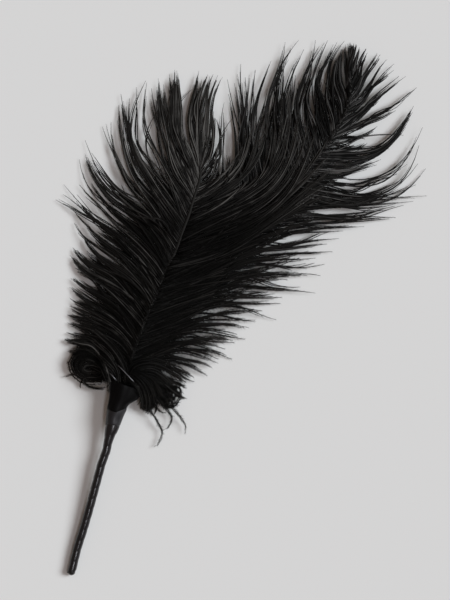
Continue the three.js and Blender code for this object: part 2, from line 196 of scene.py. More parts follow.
FRONT_LEFT = [
    (0.066, 50, -84.5, -22.0, 1.4, 180, 10, 1.9),
    (0.080, 50, -84.0, -22.5, 1.5, 178, 10, 1.8),
    (0.094, 50, -81.0, -18.0, 2.1, 172, 10, 1.8),
    (0.106, 50, -87.0, -15.5, 1.5, 170, 10, 1.4),
    (0.120, 50, -86.0, -12.0, 1.4, 166, 10, 1.4),
    (0.136, 50, -85.5, -7.0, 1.7, 160, 10, 1.8),
    (0.152, 50, -85.5, -3.0, 1.4, 158, 10, 1.4),
    (0.168, 50, -84.6, 0.6, 2.2, 156, 10, 1.8),
    (0.184, 50, -84.2, 4.4, 1.8, 152, 10, 1.4),
    (0.204, 50, -84.5, 10.0, 1.5, 148, 12, 1.8),
    (0.226, 50, -83.5, 15.0, 1.7, 145, 12, 1.8),
    (0.248, 50, -82.0, 19.5, 1.5, 143, 12, 1.8),
    (0.268, 50, -78.5, 22.0, 2.5, 141, 6, 0.7),
    (0.290, 50, -83.5, 26.5, 1.7, 134, 14, 1.2),
    (0.316, 50, -81.8, 30.5, 1.5, 128, 16, 1.2),
    (0.345, 50, -79.5, 35.0, 2.1, 124, 12, 0.7),
    (0.372, 50, -82.0, 41.5, 1.7, 112, 4, 0.5),
    (0.392, 50, -77.0, 42.0, 2.5, 122, 10, 1.0),
    (0.412, 50, -83.0, 48.0, 1.5, 126, 4, 0.5),
    (0.430, 50, -90.5, 53.7, 1.2, 149, 4, 0.4),
    (0.444, 50, -87.7, 55.3, 1.4, 146, 2, 0.0),
    (0.458, 50, -80.5, 53.0, 2.4, 138, 10, 0.8),
    (0.472, 50, -87.2, 60.3, 1.5, 136, 2, 0.0),
    (0.486, 50, -79.5, 60.2, 2.1, 126, 4, 0.5),
    (0.502, 50, -74.5, 60.5, 2.1, 126, 10, 0.9),
    (0.520, 50, -80.2, 72.3, 1.4, 108, 2, 0.0),
    (0.540, 50, -77.2, 75.0, 1.4, 112, 14, 1.6),
    (0.556, 50, -73.5, 72.0, 1.9, 122, 12, 1.1),
    (0.574, 50, -77.2, 81.3, 1.3, 114, 4, 0.4),
    (0.596, 50, -68.5, 88.2, 1.4, 112, 2, 0.0),
    (0.608, 50, -66.9, 89.3, 1.5, 108, 4, 0.3),
    (0.622, 49, -63.8, 90.3, 1.7, 88, 4, 0.3),
    (0.640, 49, -61.6, 98.4, 1.6, 94, 12, 1.0),
    (0.656, 48, -60.0, 103.7, 1.4, 100, 11, 0.9),
    (0.666, 50, -48.1, 110.3, 1.8, 70, 5, 0.5),
    (0.674, 48, -57.9, 100.5, 2.1, 92, 12, 1.0),
    (0.690, 48, -56.3, 102.0, 1.8, 84, 6, 0.6),
    (0.712, 47, -53.9, 107.3, 1.7, 92, 4, 0.4),
    (0.726, 48, -42.0, 96.3, 2.2, 58, 3, 0.3),
    (0.745, 46, -48.0, 109.8, 1.8, 88, 6, 0.7),
    (0.770, 45, -44.3, 107.3, 1.8, 93, 7, 0.8),
    (0.790, 44, -42.0, 108.0, 2.0, 93, 14, 1.3),
    (0.808, 43, -39.9, 112.3, 2.0, 94, 16, 1.3),
    (0.824, 42, -38.0, 109.5, 2.0, 92, 15, 1.3),
    (0.840, 40, -36.2, 114.5, 2.0, 92, 16, 1.3),
    (0.856, 38, -34.6, 112.0, 2.0, 90, 16, 1.3),
    (0.870, 36, -33.7, 116.7, 2.0, 89, 16, 1.1),
    (0.884, 34, -31.9, 116.4, 2.0, 88, 16, 1.0),
    (0.898, 31, -31.0, 115.2, 2.0, 87, 14, 1.0),
    (0.912, 29, -31.6, 94.0, 2.6, 84, 6, 0.9),
    (0.922, 28, -26.0, 108.2, 2.4, 46, 3, 0.2),
    (0.932, 24, -29.0, 87.0, 2.6, 94, 6, 0.9),
    (0.944, 9, -23.6, 108.0, 2.3, 80, 14, 0.7),
    (0.956, 7, -23.0, 112.0, 2.2, 80, 15, 0.7),
    (0.968, 5, -21.5, 116.8, 2.0, 80, 17, 0.7),
    (0.980, 3, -19.4, 112.5, 2.2, 76, 17, 0.7),
]

FRONT_RIGHT = [
    (0.016, 58, -37.0, -47.5, 3.6, 300, 10, 1.3),
    (0.028, 54, -30.5, -44.5, 2.8, 310, 8, 1.0),
    (0.042, 52, -28.0, -39.0, 2.6, 318, 8, 0.8),
    (0.056, 50, -24.5, -34.0, 2.4, 322, 5, 0.7),
    (0.070, 49, -21.0, -30.5, 2.2, 328, 3, 0.6),
    (0.086, 48, -16.0, -29.0, 2.0, 332, 5, 0.7),
    (0.102, 48, -12.5, -24.0, 2.2, 335, 3, 0.6),
    (0.118, 48, -9.5, -19.5, 2.6, 338, 3, 0.6),
    (0.134, 48, -6.0, -16.5, 2.4, 342, 5, 0.6),
    (0.152, 48, -3.5, -11.5, 2.8, 345, 3, 0.6),
    (0.170, 48, 0.0, -8.5, 2.6, 348, 5, 0.6),
    (0.190, 48, 5.0, -5.5, 2.6, 351, 3, 0.6),
    (0.210, 48, 7.0, -1.0, 3.0, 353, 5, 0.6),
    (0.232, 48, 12.5, 2.5, 2.8, 354, 3, 0.6),
    (0.254, 48, 14.5, 7.0, 3.0, 357, 5, 0.6),
    (0.276, 48, 19.5, 10.0, 2.8, 358, 3, 0.6),
    (0.300, 48, 21.0, 15.0, 3.4, 0, 5, 0.7),
    (0.324, 48, 26.0, 19.0, 3.2, 3, 4, 0.6),
    (0.348, 48, 27.0, 24.5, 3.8, 5, 6, 0.7),
    (0.372, 48, 31.0, 29.0, 3.8, 8, 4, 0.6),
    (0.396, 48, 31.5, 34.5, 4.6, 11, 6, 0.7),
    (0.420, 48, 37.0, 39.5, 5.0, 12, 4, 0.6),
    (0.446, 48, 39.0, 45.5, 5.8, 14, 6, 0.7),
    (0.472, 48, 42.0, 51.0, 6.4, 16, 4, 1.2),
    (0.498, 48, 44.0, 57.0, 7.4, 20, 6, 1.3),
    (0.524, 48, 45.0, 63.0, 8.6, 26, 8, 1.3),
    (0.550, 48, 45.0, 69.0, 9.4, 34, 8, 1.3),
    (0.574, 48, 43.0, 75.0, 9.8, 46, 8, 1.2),
    (0.598, 48, 41.0, 81.0, 9.8, 58, 8, 1.2),
    (0.622, 48, 37.0, 87.0, 9.6, 70, 8, 1.2),
    (0.646, 48, 33.0, 92.0, 9.2, 78, 8, 1.2),
    (0.668, 48, 28.5, 96.0, 8.8, 84, 8, 1.2),
    (0.688, 49, 25.0, 96.0, 8.2, 80, 6, 1.0),
    (0.706, 49, 24.0, 108.0, 7.2, 86, 6, 0.9),
    (0.724, 50, 19.5, 108.0, 7.0, 94, 6, 0.9),
    (0.742, 50, 16.5, 98.0, 7.4, 93, 6, 1.0),
    (0.760, 50, 13.5, 104.0, 7.0, 92, 6, 0.8),
    (0.778, 50, 9.5, 94.5, 7.4, 84, 6, 0.9),
    (0.796, 50, 6.0, 91.0, 7.4, 76, 6, 0.9),
    (0.812, 50, 3.4, 84.0, 7.6, 62, 6, 0.5),
    (0.828, 50, 0.0, 79.0, 7.8, 54, 3, 0.2),
    (0.846, 48, -4.4, 92.8, 3.4, 50, 2, 0.0),
    (0.862, 46, -7.6, 88.5, 3.5, 56, 2, 0.0),
    (0.878, 44, -12.0, 80.0, 3.4, 64, 5, 0.4),
    (0.892, 42, -12.6, 93.5, 3.0, 108, 6, 0.5),
    (0.902, 42, -8.2, 101.2, 2.7, 76, 2, 0.0),
    (0.914, 38, -13.6, 97.0, 3.0, 88, 8, 0.8),
    (0.926, 34, -10.1, 113.8, 2.3, 62, 6, 0.4),
    (0.938, 30, -12.0, 114.7, 2.2, 64, 12, 0.5),
    (0.950, 26, -13.8, 114.8, 2.2, 66, 12, 0.5),
    (0.962, 20, -16.0, 114.3, 2.2, 68, 14, 0.5),
    (0.974, 12, -17.6, 115.4, 2.2, 68, 14, 0.5),
    (0.988, 4, -19.0, 112.5, 2.2, 72, 16, 0.8),
]

BACK_LEFT = [
    (0.080, 50, -81.0, -26.0, 1.4, 186, 8, 1.8),
    (0.105, 50, -82.0, -16.0, 1.4, 170, 8, 1.8),
    (0.130, 50, -81.5, -6.0, 1.4, 160, 8, 1.8),
    (0.155, 50, -81.0, 3.0, 1.4, 152, 8, 1.8),
    (0.180, 50, -80.0, 12.0, 1.4, 146, 8, 1.8),
    (0.205, 50, -78.5, 20.0, 1.4, 140, 8, 1.8),
    (0.230, 50, -76.0, 28.0, 1.4, 134, 8, 1.8),
    (0.255, 50, -73.0, 36.0, 1.4, 128, 8, 1.8),
    (0.280, 50, -70.0, 44.0, 1.4, 124, 8, 1.8),
    (0.305, 50, -65.0, 52.0, 1.4, 120, 6, 1.1),
    (0.330, 50, -60.0, 60.0, 1.4, 116, 6, 1.1),
    (0.355, 50, -53.0, 67.0, 1.4, 112, 6, 1.1),
    (0.380, 51, -45.0, 74.0, 1.4, 108, 6, 1.1),
    (0.400, 52, -37.0, 80.0, 1.4, 106, 6, 1.0),
    (0.420, 53, -28.0, 85.0, 1.6, 102, 6, 0.8),
    (0.436, 54, -21.0, 82.0, 1.8, 100, 6, 0.6),
    (0.450, 55, -18.0, 72.0, 2.0, 100, 6, 0.5),
    (0.492, 56, -9.6, 96.0, 2.4, 96, 2, 0.1),
    (0.540, 50, -5.4, 105.2, 2.8, 102, 4, 0.2),
    (0.545, 50, -5.9, 112.4, 1.4, 100, 2, 0.0),
    (0.550, 51, -3.9, 110.4, 1.7, 98, 4, 0.4),
    (0.555, 52, -2.2, 114.4, 1.7, 97, 4, 0.4),
    (0.560, 53, 0.5, 119.6, 1.5, 92, 4, 0.3),
    (0.565, 54, 1.9, 113.0, 1.9, 88, 4, 0.4),
    (0.571, 56, 4.0, 114.4, 1.9, 84, 4, 0.4),
    (0.577, 58, 6.2, 117.0, 1.8, 82, 4, 0.3),
    (0.583, 60, 7.0, 104.0, 2.3, 76, 6, 0.8),
    (0.590, 62, 13.9, 121.3, 1.9, 74, 6, 0.6),
    (0.598, 63, 12.0, 108.0, 2.4, 78, 6, 0.8),
    (0.606, 64, 18.2, 118.0, 2.2, 88, 8, 1.0),
    (0.618, 65, 19.6, 130.3, 2.0, 84, 8, 0.7),
    (0.630, 66, 21.0, 121.0, 2.3, 86, 8, 1.0),
    (0.642, 67, 23.2, 127.6, 2.0, 68, 6, 0.5),
    (0.656, 68, 22.0, 110.0, 2.7, 90, 8, 1.1),
    (0.668, 69, 26.6, 132.0, 2.0, 60, 4, 0.4),
    (0.680, 70, 26.0, 118.0, 2.5, 84, 8, 1.0),
    (0.692, 70, 30.2, 127.0, 2.2, 62, 6, 0.6),
    (0.704, 70, 28.6, 112.0, 2.9, 84, 8, 1.0),
    (0.716, 69, 35.2, 131.6, 2.0, 78, 6, 0.5),
    (0.728, 68, 33.0, 121.0, 2.5, 70, 6, 0.8),
    (0.740, 67, 38.9, 131.0, 2.1, 58, 6, 0.5),
    (0.752, 50, 34.0, 112.0, 3.1, 80, 8, 1.0),
    (0.764, 48, 42.2, 131.6, 2.1, 62, 6, 0.5),
    (0.776, 45, 40.0, 122.0, 2.8, 64, 6, 0.8),
    (0.788, 43, 45.6, 129.5, 2.3, 60, 6, 0.6),
    (0.800, 40, 40.5, 113.0, 3.2, 74, 8, 0.9),
    (0.812, 36, 46.2, 131.6, 2.2, 54, 6, 0.5),
    (0.824, 33, 44.5, 120.0, 3.1, 70, 8, 0.9),
    (0.836, 29, 49.5, 132.6, 2.2, 54, 6, 0.6),
    (0.850, 33, 47.6, 124.0, 2.9, 74, 12, 0.8),
    (0.866, 27, 49.0, 128.0, 2.5, 76, 12, 0.8),
    (0.884, 20, 50.6, 129.4, 2.5, 78, 12, 0.8),
    (0.904, 14, 51.8, 130.6, 2.4, 88, 14, 0.8),
    (0.926, 14, 53.4, 131.5, 2.3, 87, 14, 0.8),
    (0.950, 14, 54.6, 132.0, 2.2, 86, 14, 0.8),
    (0.976, 14, 56.0, 131.7, 2.2, 82, 14, 0.8),
]

BACK_RIGHT = [
    (0.026, 56, -36.0, -48.5, 2.6, 298, 8, 1.2),
    (0.036, 52, -31.5, -47.0, 2.2, 308, 6, 0.8),
    (0.046, 50, -29.6, -44.0, 2.0, 314, 6, 0.7),
    (0.058, 49, -24.5, -36.2, 1.8, 324, 3, 0.7),
    (0.070, 48, -17.6, -32.6, 1.6, 327, 3, 0.6),
    (0.084, 48, -12.5, -26.8, 1.8, 333, 3, 0.6),
    (0.098, 48, -6.4, -25.6, 1.6, 336, 3, 0.5),
    (0.110, 48, -11.5, -21.5, 2.4, 339, 3, 0.6),
    (0.122, 48, -4.9, -17.2, 1.8, 345, 3, 0.5),
    (0.136, 48, 0.6, -14.6, 1.6, 346, 3, 0.5),
    (0.150, 48, 2.0, -10.2, 1.8, 349, 3, 0.5),
    (0.164, 47, 5.2, -6.0, 1.8, 351, 3, 0.4),
    (0.178, 47, 8.9, -0.2, 2.0, 352, 3, 0.5),
    (0.188, 46, 16.0, -3.6, 1.6, 346, 2, 0.0),
    (0.200, 46, 17.6, 3.0, 1.8, 352, 3, 0.4),
    (0.214, 45, 18.5, 5.4, 2.0, 356, 3, 0.5),
    (0.226, 45, 12.5, 7.5, 3.0, 357, 3, 0.5),
    (0.236, 44, 25.6, 9.0, 1.8, 353, 3, 0.3),
    (0.246, 44, 34.6, 8.2, 1.6, 355, 2, 0.0),
    (0.258, 43, 27.6, 13.1, 2.0, 357, 3, 0.5),
    (0.270, 43, 37.2, 16.1, 1.8, 358, 3, 0.3),
    (0.282, 42, 27.6, 16.9, 2.4, 359, 3, 0.5),
    (0.294, 42, 30.6, 19.9, 2.2, 2, 3, 0.5),
    (0.308, 41, 39.2, 23.3, 2.0, 1, 3, 0.4),
    (0.322, 41, 35.0, 25.5, 2.8, 5, 4, 0.5),
    (0.336, 40, 43.2, 28.1, 2.0, 5, 4, 0.4),
    (0.350, 40, 40.6, 31.8, 2.4, 9, 4, 0.5),
    (0.364, 39, 46.5, 34.2, 2.2, 7, 4, 0.4),
    (0.378, 39, 42.0, 36.5, 3.0, 9, 4, 0.5),
    (0.392, 38, 48.5, 39.8, 2.2, 5, 4, 0.4),
    (0.406, 38, 53.2, 41.6, 2.2, 3, 4, 0.3),
    (0.418, 38, 58.7, 41.8, 2.0, 359, 4, 0.2),
    (0.430, 37, 71.2, 44.2, 1.8, 0, 4, 0.2),
    (0.442, 36, 64.0, 45.6, 2.6, 3, 4, 0.5),
    (0.454, 35, 74.1, 45.8, 2.0, 2, 4, 0.2),
    (0.466, 34, 70.0, 48.6, 2.6, 5, 4, 0.4),
    (0.480, 33, 78.1, 49.6, 2.0, 5, 4, 0.3),
    (0.494, 32, 74.0, 52.6, 2.8, 8, 4, 0.4),
    (0.508, 31, 82.7, 53.2, 2.0, 7, 4, 0.2),
    (0.520, 30, 83.4, 54.9, 2.4, 5, 4, 0.2),
    (0.530, 30, 89.4, 55.3, 2.0, 3, 2, 0.0),
    (0.542, 29, 72.0, 57.5, 3.6, 12, 4, 0.5),
    (0.556, 28, 80.0, 59.0, 3.0, 20, 4, 0.4),
    (0.572, 27, 84.2, 61.2, 1.6, 24, 4, 0.4),
    (0.588, 26, 90.4, 67.0, 1.3, 50, 4, 0.4),
    (0.604, 26, 78.0, 64.0, 2.2, 28, 6, 0.7),
    (0.620, 26, 86.0, 70.0, 1.8, 52, 2, 0.0),
    (0.634, 26, 87.9, 78.3, 1.7, 70, 4, 0.5),
    (0.646, 26, 80.0, 71.0, 2.4, 44, 4, 0.5),
    (0.660, 26, 88.9, 87.6, 1.8, 62, 4, 0.4),
    (0.674, 27, 86.8, 83.0, 2.2, 66, 2, 0.0),
    (0.688, 32, 66.0, 70.5, 3.1, 18, 6, 0.9),
    (0.704, 36, 68.0, 73.5, 3.2, 22, 6, 0.9),
    (0.720, 40, 62.0, 73.0, 3.6, 16, 6, 1.0),
    (0.736, 44, 72.0, 79.4, 3.5, 350, 2, 0.0),
    (0.752, 50, 85.0, 98.8, 2.6, 62, 16, 1.4),
    (0.764, 50, 83.5, 97.5, 2.8, 66, 10, 1.2),
    (0.774, 44, 79.0, 86.6, 3.6, 352, 2, 0.0),
    (0.782, 36, 62.0, 82.5, 4.0, 30, 8, 1.0),
    (0.790, 28, 67.0, 90.0, 3.7, 40, 6, 0.8),
    (0.798, 26, 85.6, 109.1, 2.8, 36, 4, 0.4),
    (0.806, 26, 83.8, 109.6, 2.9, 40, 2, 0.0),
    (0.814, 26, 75.0, 99.0, 3.5, 34, 6, 0.6),
    (0.822, 27, 71.5, 108.2, 3.2, 46, 8, 0.8),
    (0.832, 28, 80.6, 114.6, 2.8, 35, 4, 0.4),
    (0.842, 29, 77.1, 115.1, 2.9, 40, 4, 0.4),
    (0.852, 30, 67.5, 105.0, 3.6, 56, 10, 1.0),
    (0.862, 30, 75.1, 117.6, 2.9, 42, 6, 0.5),
    (0.872, 30, 75.0, 121.0, 2.6, 42, 4, 0.3),
    (0.882, 29, 66.0, 112.0, 3.4, 66, 12, 1.0),
    (0.892, 28, 72.0, 123.0, 2.6, 48, 6, 0.5),
    (0.902, 27, 68.6, 125.6, 2.6, 56, 8, 0.7),
    (0.912, 25, 67.0, 126.6, 2.6, 62, 8, 0.7),
    (0.924, 22, 63.3, 126.3, 2.8, 62, 8, 0.6),
    (0.936, 19, 61.6, 129.0, 2.6, 65, 9, 0.6),
    (0.948, 16, 60.0, 124.0, 3.0, 62, 9, 0.6),
    (0.962, 12, 59.0, 129.7, 2.6, 69, 9, 0.6),
    (0.980, 6, 57.4, 131.4, 2.5, 75, 9, 0.6),
]

# Down and single barbs at the roots, drawn along given points:
# (barbs, half their width at the root, at the tip, how thick and how pale they are, points).
# Their paleness is partly painted highlight, as on the lit inner loop of the curl.
BASE_TUFTS = [
    (12, 1.6, 2.6, 1.1, 0.3, [(-60, -38, 10.4), (-61.5, -33.5, 11.6), (-63.5, -29, 12), (-67, -25, 11)]),
    (14, 2.6, 3.6, 1.2, 0.25, [(-66, -33, 8), (-70, -30, 5.8), (-75, -28, 4.7), (-80, -27.5, 3.2)]),
    (2, 0.4, 0.1, 0.5, 0.6, [
        (-70, -31, 6.5), (-77, -31, 4.3), (-81.5, -32.3, 2.9), (-85, -33, 2.2), (-88.3, -33.9, 2.2),
    ]),
    (9, 0.9, 1.1, 0.9, 1.5, [
        (-64.5, -36, 10.5), (-67, -28.7, 12), (-69, -24.8, 8.6), (-72, -20.5, 7.9), (-75.2, -18, 6.8),
        (-79.8, -17.2, 5), (-85.2, -16.2, 2.9), (-87.8, -15.3, 2.2),
    ]),
    (6, 0.8, 0.9, 0.8, 0.8, [
        (-66, -30, 11.5), (-70, -23.5, 7.9), (-75, -20.5, 6.5), (-81, -20.3, 4.3), (-86.5, -21.2, 2.2),
    ]),
    (9, 0.9, 1.3, 0.9, 0.7, [
        (-65.5, -36, 10), (-67.5, -31, 11), (-70, -26.5, 7.9), (-74, -23.8, 6.8), (-78, -23.5, 5.4),
        (-82, -25, 3.6),
    ]),
    (13, 1.9, 2.2, 0.8, 0.25, [
        (-64.5, -34.5, 9), (-69, -27, 7.6), (-74, -23.7, 7.2), (-79.5, -23.2, 5.8), (-83, -26, 4.3),
        (-82.8, -30, 3.6), (-79.3, -33.8, 3.2), (-75.3, -35.2, 3.2), (-70.5, -35, 4), (-67, -36, 6.5),
    ]),
    (10, 1.6, 1.8, 0.8, 0.25, [
        (-65, -33, 9.5), (-68, -28.5, 10.5), (-72, -25, 7.6), (-77, -24, 6.8), (-80.4, -27, 5.8),
        (-80, -30.5, 5), (-76.4, -33, 4.7), (-72, -33.7, 4.7), (-68, -33, 7),
    ]),
    # painted highlight: the lit inner loop of the curl
    (5, 0.9, 0.7, 0.8, 2.2, [
        (-66, -32.5, 9), (-69, -29.5, 7.2), (-73, -27.6, 7.2), (-77, -27.6, 6.8), (-78.6, -29.6, 6.2),
        (-77, -31.2, 6), (-74, -31.4, 6.2), (-71, -31.8, 6.3),
    ]),
    (4, 0.4, 0.35, 0.6, 0.7, [
        (-66.5, -35.5, 8), (-70, -34.5, 5), (-76, -34.2, 4), (-78.5, -35.5, 3.2), (-77, -38, 2.9),
        (-74, -39.3, 2.9), (-70.5, -39.6, 3.6), (-67.3, -38.9, 6.5),
    ]),
    (2, 0.2, 1.2, 0.6, 1.4, [
        (-65.3, -41.5, 9.4), (-65.7, -38.5, 10.8), (-65.7, -33, 12), (-67.5, -28, 12.4), (-70, -24, 8.6),
        (-73, -20.5, 7.9), (-78, -17, 5.8),
    ]),
    (9, 1.8, 2.0, 1, 0.7, [
        (-60, -33, 12), (-62, -29, 13), (-66, -25, 12.6), (-71, -21, 7.2), (-77, -19.5, 4.3),
        (-82, -20, 2.2),
    ]),
    (12, 2.2, 3.0, 1, 0.7, [
        (-58, -36, 12.4), (-58, -31, 13.4), (-60, -26, 13.6), (-65, -19, 12), (-73, -13, 5.8),
        (-80, -10, 2.9),
    ]),
    (14, 2.6, 3.4, 1, 0.1, [
        (-55, -36, 12), (-54, -31, 13), (-51, -28, 12.8), (-44, -27, 11), (-35, -31, 7), (-28, -37, 3.4),
    ]),
    (14, 2.0, 3.0, 1, 0.1, [
        (-53, -36, 11.6), (-50, -33, 12.4), (-45, -33, 10.6), (-39, -37, 7), (-34, -43, 3.6),
    ]),
    (14, 1.6, 2.6, 1, 0.1, [
        (-51.5, -35, 10.4), (-48, -34.5, 10.4), (-44, -37, 8.4), (-41, -42, 5.4), (-40, -47, 3.4),
    ]),
    (12, 1.2, 2.2, 1, 0.2, [
        (-51, -34, 10), (-47, -35, 9.6), (-45.6, -39, 7.6), (-46, -44.5, 5.4), (-47, -51.5, 3.4),
    ]),
    (8, 0.8, 1.0, 1, 0.2, [
        (-50.5, -34, 9.4), (-46.6, -36, 8.8), (-46.6, -40, 7), (-48.2, -45, 5), (-49.7, -50, 3.6),
    ]),
    (2, 0.4, 0.12, 0.62, 3.0, [
        (-47, -37, 8), (-46, -44, 6.4), (-45.2, -51, 4.5), (-43.2, -53.2, 4), (-40.4, -58.3, 3),
        (-39.4, -60.6, 2.6), (-39.2, -61.7, 2.5), (-39.8, -64, 2.2), (-40.9, -66.8, 2), (-42, -68.4, 1.8),
        (-43.6, -68.7, 1.5),
    ]),
    (2, 0.5, 0.1, 0.5, 0.3, [(-45, -44, 6), (-42, -49.2, 5), (-39.8, -51, 4.5), (-37.8, -51.8, 4)]),
    (2, 0.5, 0.12, 0.62, 3.0, [
        (-44, -40, 7), (-40.5, -45.5, 6), (-36.7, -50.4, 4.5), (-34.7, -53.2, 4), (-34.7, -55.8, 3.5),
        (-36.1, -58.6, 3), (-37.3, -59.9, 3), (-39.5, -60.6, 2.8),
    ]),
    (2, 0.4, 0.15, 0.62, 3.0, [
        (-41, -40, 7), (-37.5, -44.5, 6), (-33.9, -49.5, 5), (-32.2, -51.5, 4.5), (-30.2, -53.8, 4),
        (-27.6, -58, 3), (-27.5, -59, 2.8), (-28, -62, 2.2),
    ]),
    (4, 0.6, 0.3, 0.6, 0.4, [
        (-45, -39, 8), (-41.5, -44.5, 6), (-39.5, -47, 5), (-37.5, -48.8, 4.6), (-34.7, -48.5, 4.6),
        (-34.2, -46.5, 5), (-35, -44.8, 5.5), (-36.5, -44.5, 5.8), (-36.8, -46.5, 5.5),
    ]),
    (3, 0.5, 0.2, 0.6, 0.4, [
        (-42, -44, 6), (-36.5, -48.5, 4.6), (-34.3, -48.5, 4.8), (-32.3, -47.5, 5), (-31.1, -45.5, 5),
        (-29.9, -43.5, 5), (-30.5, -41.5, 5.2), (-30.5, -39.5, 5.4),
    ]),
    (3, 0.5, 0.12, 0.6, 0.3, [
        (-38, -37, 8), (-34, -40.5, 6.4), (-29.9, -43.5, 4.5), (-28.5, -44.3, 4), (-27, -44.9, 3.5),
    ]),
    (18, 1.6, 2.0, 1, 0.4, [
        (-56, -32.5, 13.4), (-52.6, -34.8, 13.9), (-49.8, -38, 13.4), (-48.2, -42, 10.5), (-47.6, -46, 7),
        (-48, -50.5, 3.5),
    ]),
    (18, 1.6, 2.2, 1, 0.3, [
        (-55, -31.5, 13.4), (-51, -33.8, 13.8), (-47.6, -37, 12.4), (-45.4, -42, 8.5), (-44.4, -46.5, 5),
        (-44.4, -50, 3),
    ]),
    (16, 1.6, 2.4, 1, 0.2, [
        (-54, -31, 13.2), (-49, -33, 13.2), (-44.6, -36.4, 10.5), (-41.4, -41.5, 7), (-39.6, -46.5, 4),
    ]),
    (3, 0.5, 0.2, 0.6, 0.4, [
        (-40, -38, 8), (-34.5, -39.5, 6), (-32.5, -38.5, 6), (-30.3, -39.5, 5.5), (-30, -41.5, 5),
        (-31.5, -42.5, 5), (-33, -41.5, 5.5),
    ]),
    (2, 0.1, 0.1, 0.7, 3.0, [
        (-34, 36, 13), (-37, 42, 13.6), (-41, 44.6, 13.8), (-46, 44.8, 13.4), (-52, 46, 12.4),
    ]),
]

# Curled down that fills both sides of the roots:
# (barbs, low corner, high corner, headings, lengths, turn over the length in radians, z).
DOWN_PATCHES = [
    (30, (-77, -32), (-65, -22), (110, 220), (5, 12), (0.8, 2.4), 5.0),
    (46, (-50, -40), (-43, -34), (262, 345), (6, 15), (0.3, 1.8), 6.6),
    (16, (-41, -45), (-34, -37), (250, 340), (5, 9), (1.5, 4.2), 5.6),
]

STEPS = 18  # points along a barb
ROOT_STEP = 0.4  # from one barb's root to the next along the shaft
ROOT_REACH = 0.46  # how long a barb keeps its direction from its root, as a share of its chord
TIP_REACH = 0.36  # the same at its tip, low on a feather
TOP_TIP_REACH = 0.52  # and towards its top, where the barbs turn up
TURNING_UP_SHARES = (0.4, 0.7)  # the shares of the shaft between which it changes
FALL_POWER = 0.6  # below 1 the barbs sink early
ARCH_POWER = 0.8  # below 1 their arch is broad
UNEVENNESS = 0.12  # of the barbs' places across a lock
LOCK_POINT = 0.06  # how much of their course the outer barbs of a lock leave out
ANGLE_SCATTER = 7  # degrees, at a lock's roots and tips
FANNING = 3  # degrees by which the outer barbs of a lock turn outwards
GATHERING_SHARES = (0.12, 0.6)  # of a barb, between which it joins its lock
SHARED_SWAY = 1.0  # how far a lock sways as a whole
OWN_SWAY = 0.4  # and each of its barbs
TIP_SCATTER = 0.4
ROOT_SHARES = (0.01, 0.998)  # of a shaft, between which barbs may grow
WIDTH_AT_TIP, WIDTH_ADDED = (0.7, 1.1)  # how wide a lock is at its tip, and what its root adds
PULLS = (0.6, 1.0)  # how firmly a lock gathers its barbs
LOCK_LIFTS = (0.4, 1)
LIFT_SCATTER = 0.3
FILLING_REACH_SHARES = (0.4, 0.6)  # of the shaft, where the filling barbs' reach is given
FILLING_ROOT_SCATTER = 5  # degrees
FILLING_TIP_SCATTER = 9
ROOT_OUT = 0.25  # from the middle of the shaft to a root at its side
ROOT_OVER = 1.3  # how far past it a root may start across the shaft's top
ROOT_RISE = 0.2  # above the shaft's line
STRAND_HALF_WIDTH = 0.33  # a barb with the barbules that cling to it
STRAND_HALF_HEIGHT = 0.22
THICKNESSES = (0.7, 1.1)
BARE_AND_LIT_POWER = 5  # few barbs have lost their barbules, and only these get a bright painted highlight
BARE_AND_LIT_THICKER = 0.25
PALE_LEAST, PALE_ADDED = (0.05, 1.3)  # how pale a barb is with its barbules, and the painted highlight it gains without them
# A strand's section, round from its ridge: (across, up, how much of it is barbules rather than bare barb)
# The ridge at the top of the section gets the painted highlight.
SECTION = [(0, 1, 0), (-1, 0, 1), (0, -0.7, 1), (1, 0, 1)]
SIDES = len(SECTION)
STRAND_TRIANGLES = (STEPS - 1) * SIDES * 2 + 2 * (SIDES - 2)
BARBULE_HALF_BASE = 0.12
BARBULE_SHARES = (0.03, 0.995)  # of a barb, between which its barbules grow
BARBULE_ROOTS = (0.2, 0.85)  # from its middle to its edge, where they leave it
BARBULE_ANGLES = 0.45  # how much their angle varies, as a share of it
BARBULE_TILT = 24  # how many degrees they leave the strand's own plane
BARBULE_LENGTHS = (0.4, 1.35)
PALENESS_YS = (44.0, 76.0, 98.0)  # how pale a vane's barbs are is given at these three places; this paleness is a painted highlight, faint low on the pick
FLOOR_CLEARANCE = 0.25
SWAYING_LENGTH = 60.0  # barbs shorter than this are straighter
TIP_SHARE = 1.03  # the tables give the place where a tip still shows; the barbs run on a little
OVER_SHARES = (0.35, 0.72)  # how far the roots cover a shaft is given at these two shares of it
FILLING_END = 0.86  # the share of the shaft above which the locks need no filling
FILLING_REACHES = (0.4, 1)  # of the reach given for them
FILLING_SCATTER = 1.5  # of their tips
FILLING_SWAY = 0.6
FILLING_LIFTS = (-0.3, 0.9)
STRAY_SHARE = 0.22  # of the filling barbs, which cross their neighbours
STRAY_LIFT = 0.8
FILLING_WIDTH = 1.5
FILLING_PALENESS = 0.7
LOCK_PALENESS = (0.4, 1.6)  # each lock has its own


def ease(low, high, value):
    u = np.clip((value - low) / (high - low), 0, 1)
    return u * u * (3 - 2 * u)


def direction(heading):
    return np.stack([np.cos(heading), np.sin(heading)], axis=-1)


def bent(start, start_heading, end, end_heading, tip_reach, t):
    """Points of lines that leave their starts and meet their ends at those headings."""
    chord = np.linalg.norm(end - start, axis=-1)[:, None]
    p0, p3 = start[:, None], end[:, None]
    p1 = p0 + (direction(start_heading) * chord * ROOT_REACH)[:, None]
    p2 = p3 - (direction(end_heading) * chord * tip_reach)[:, None]
    t = t[..., None]
    return (1 - t) ** 3 * p0 + 3 * (1 - t) ** 2 * t * p1 + 3 * (1 - t) * t**2 * p2 + t**3 * p3


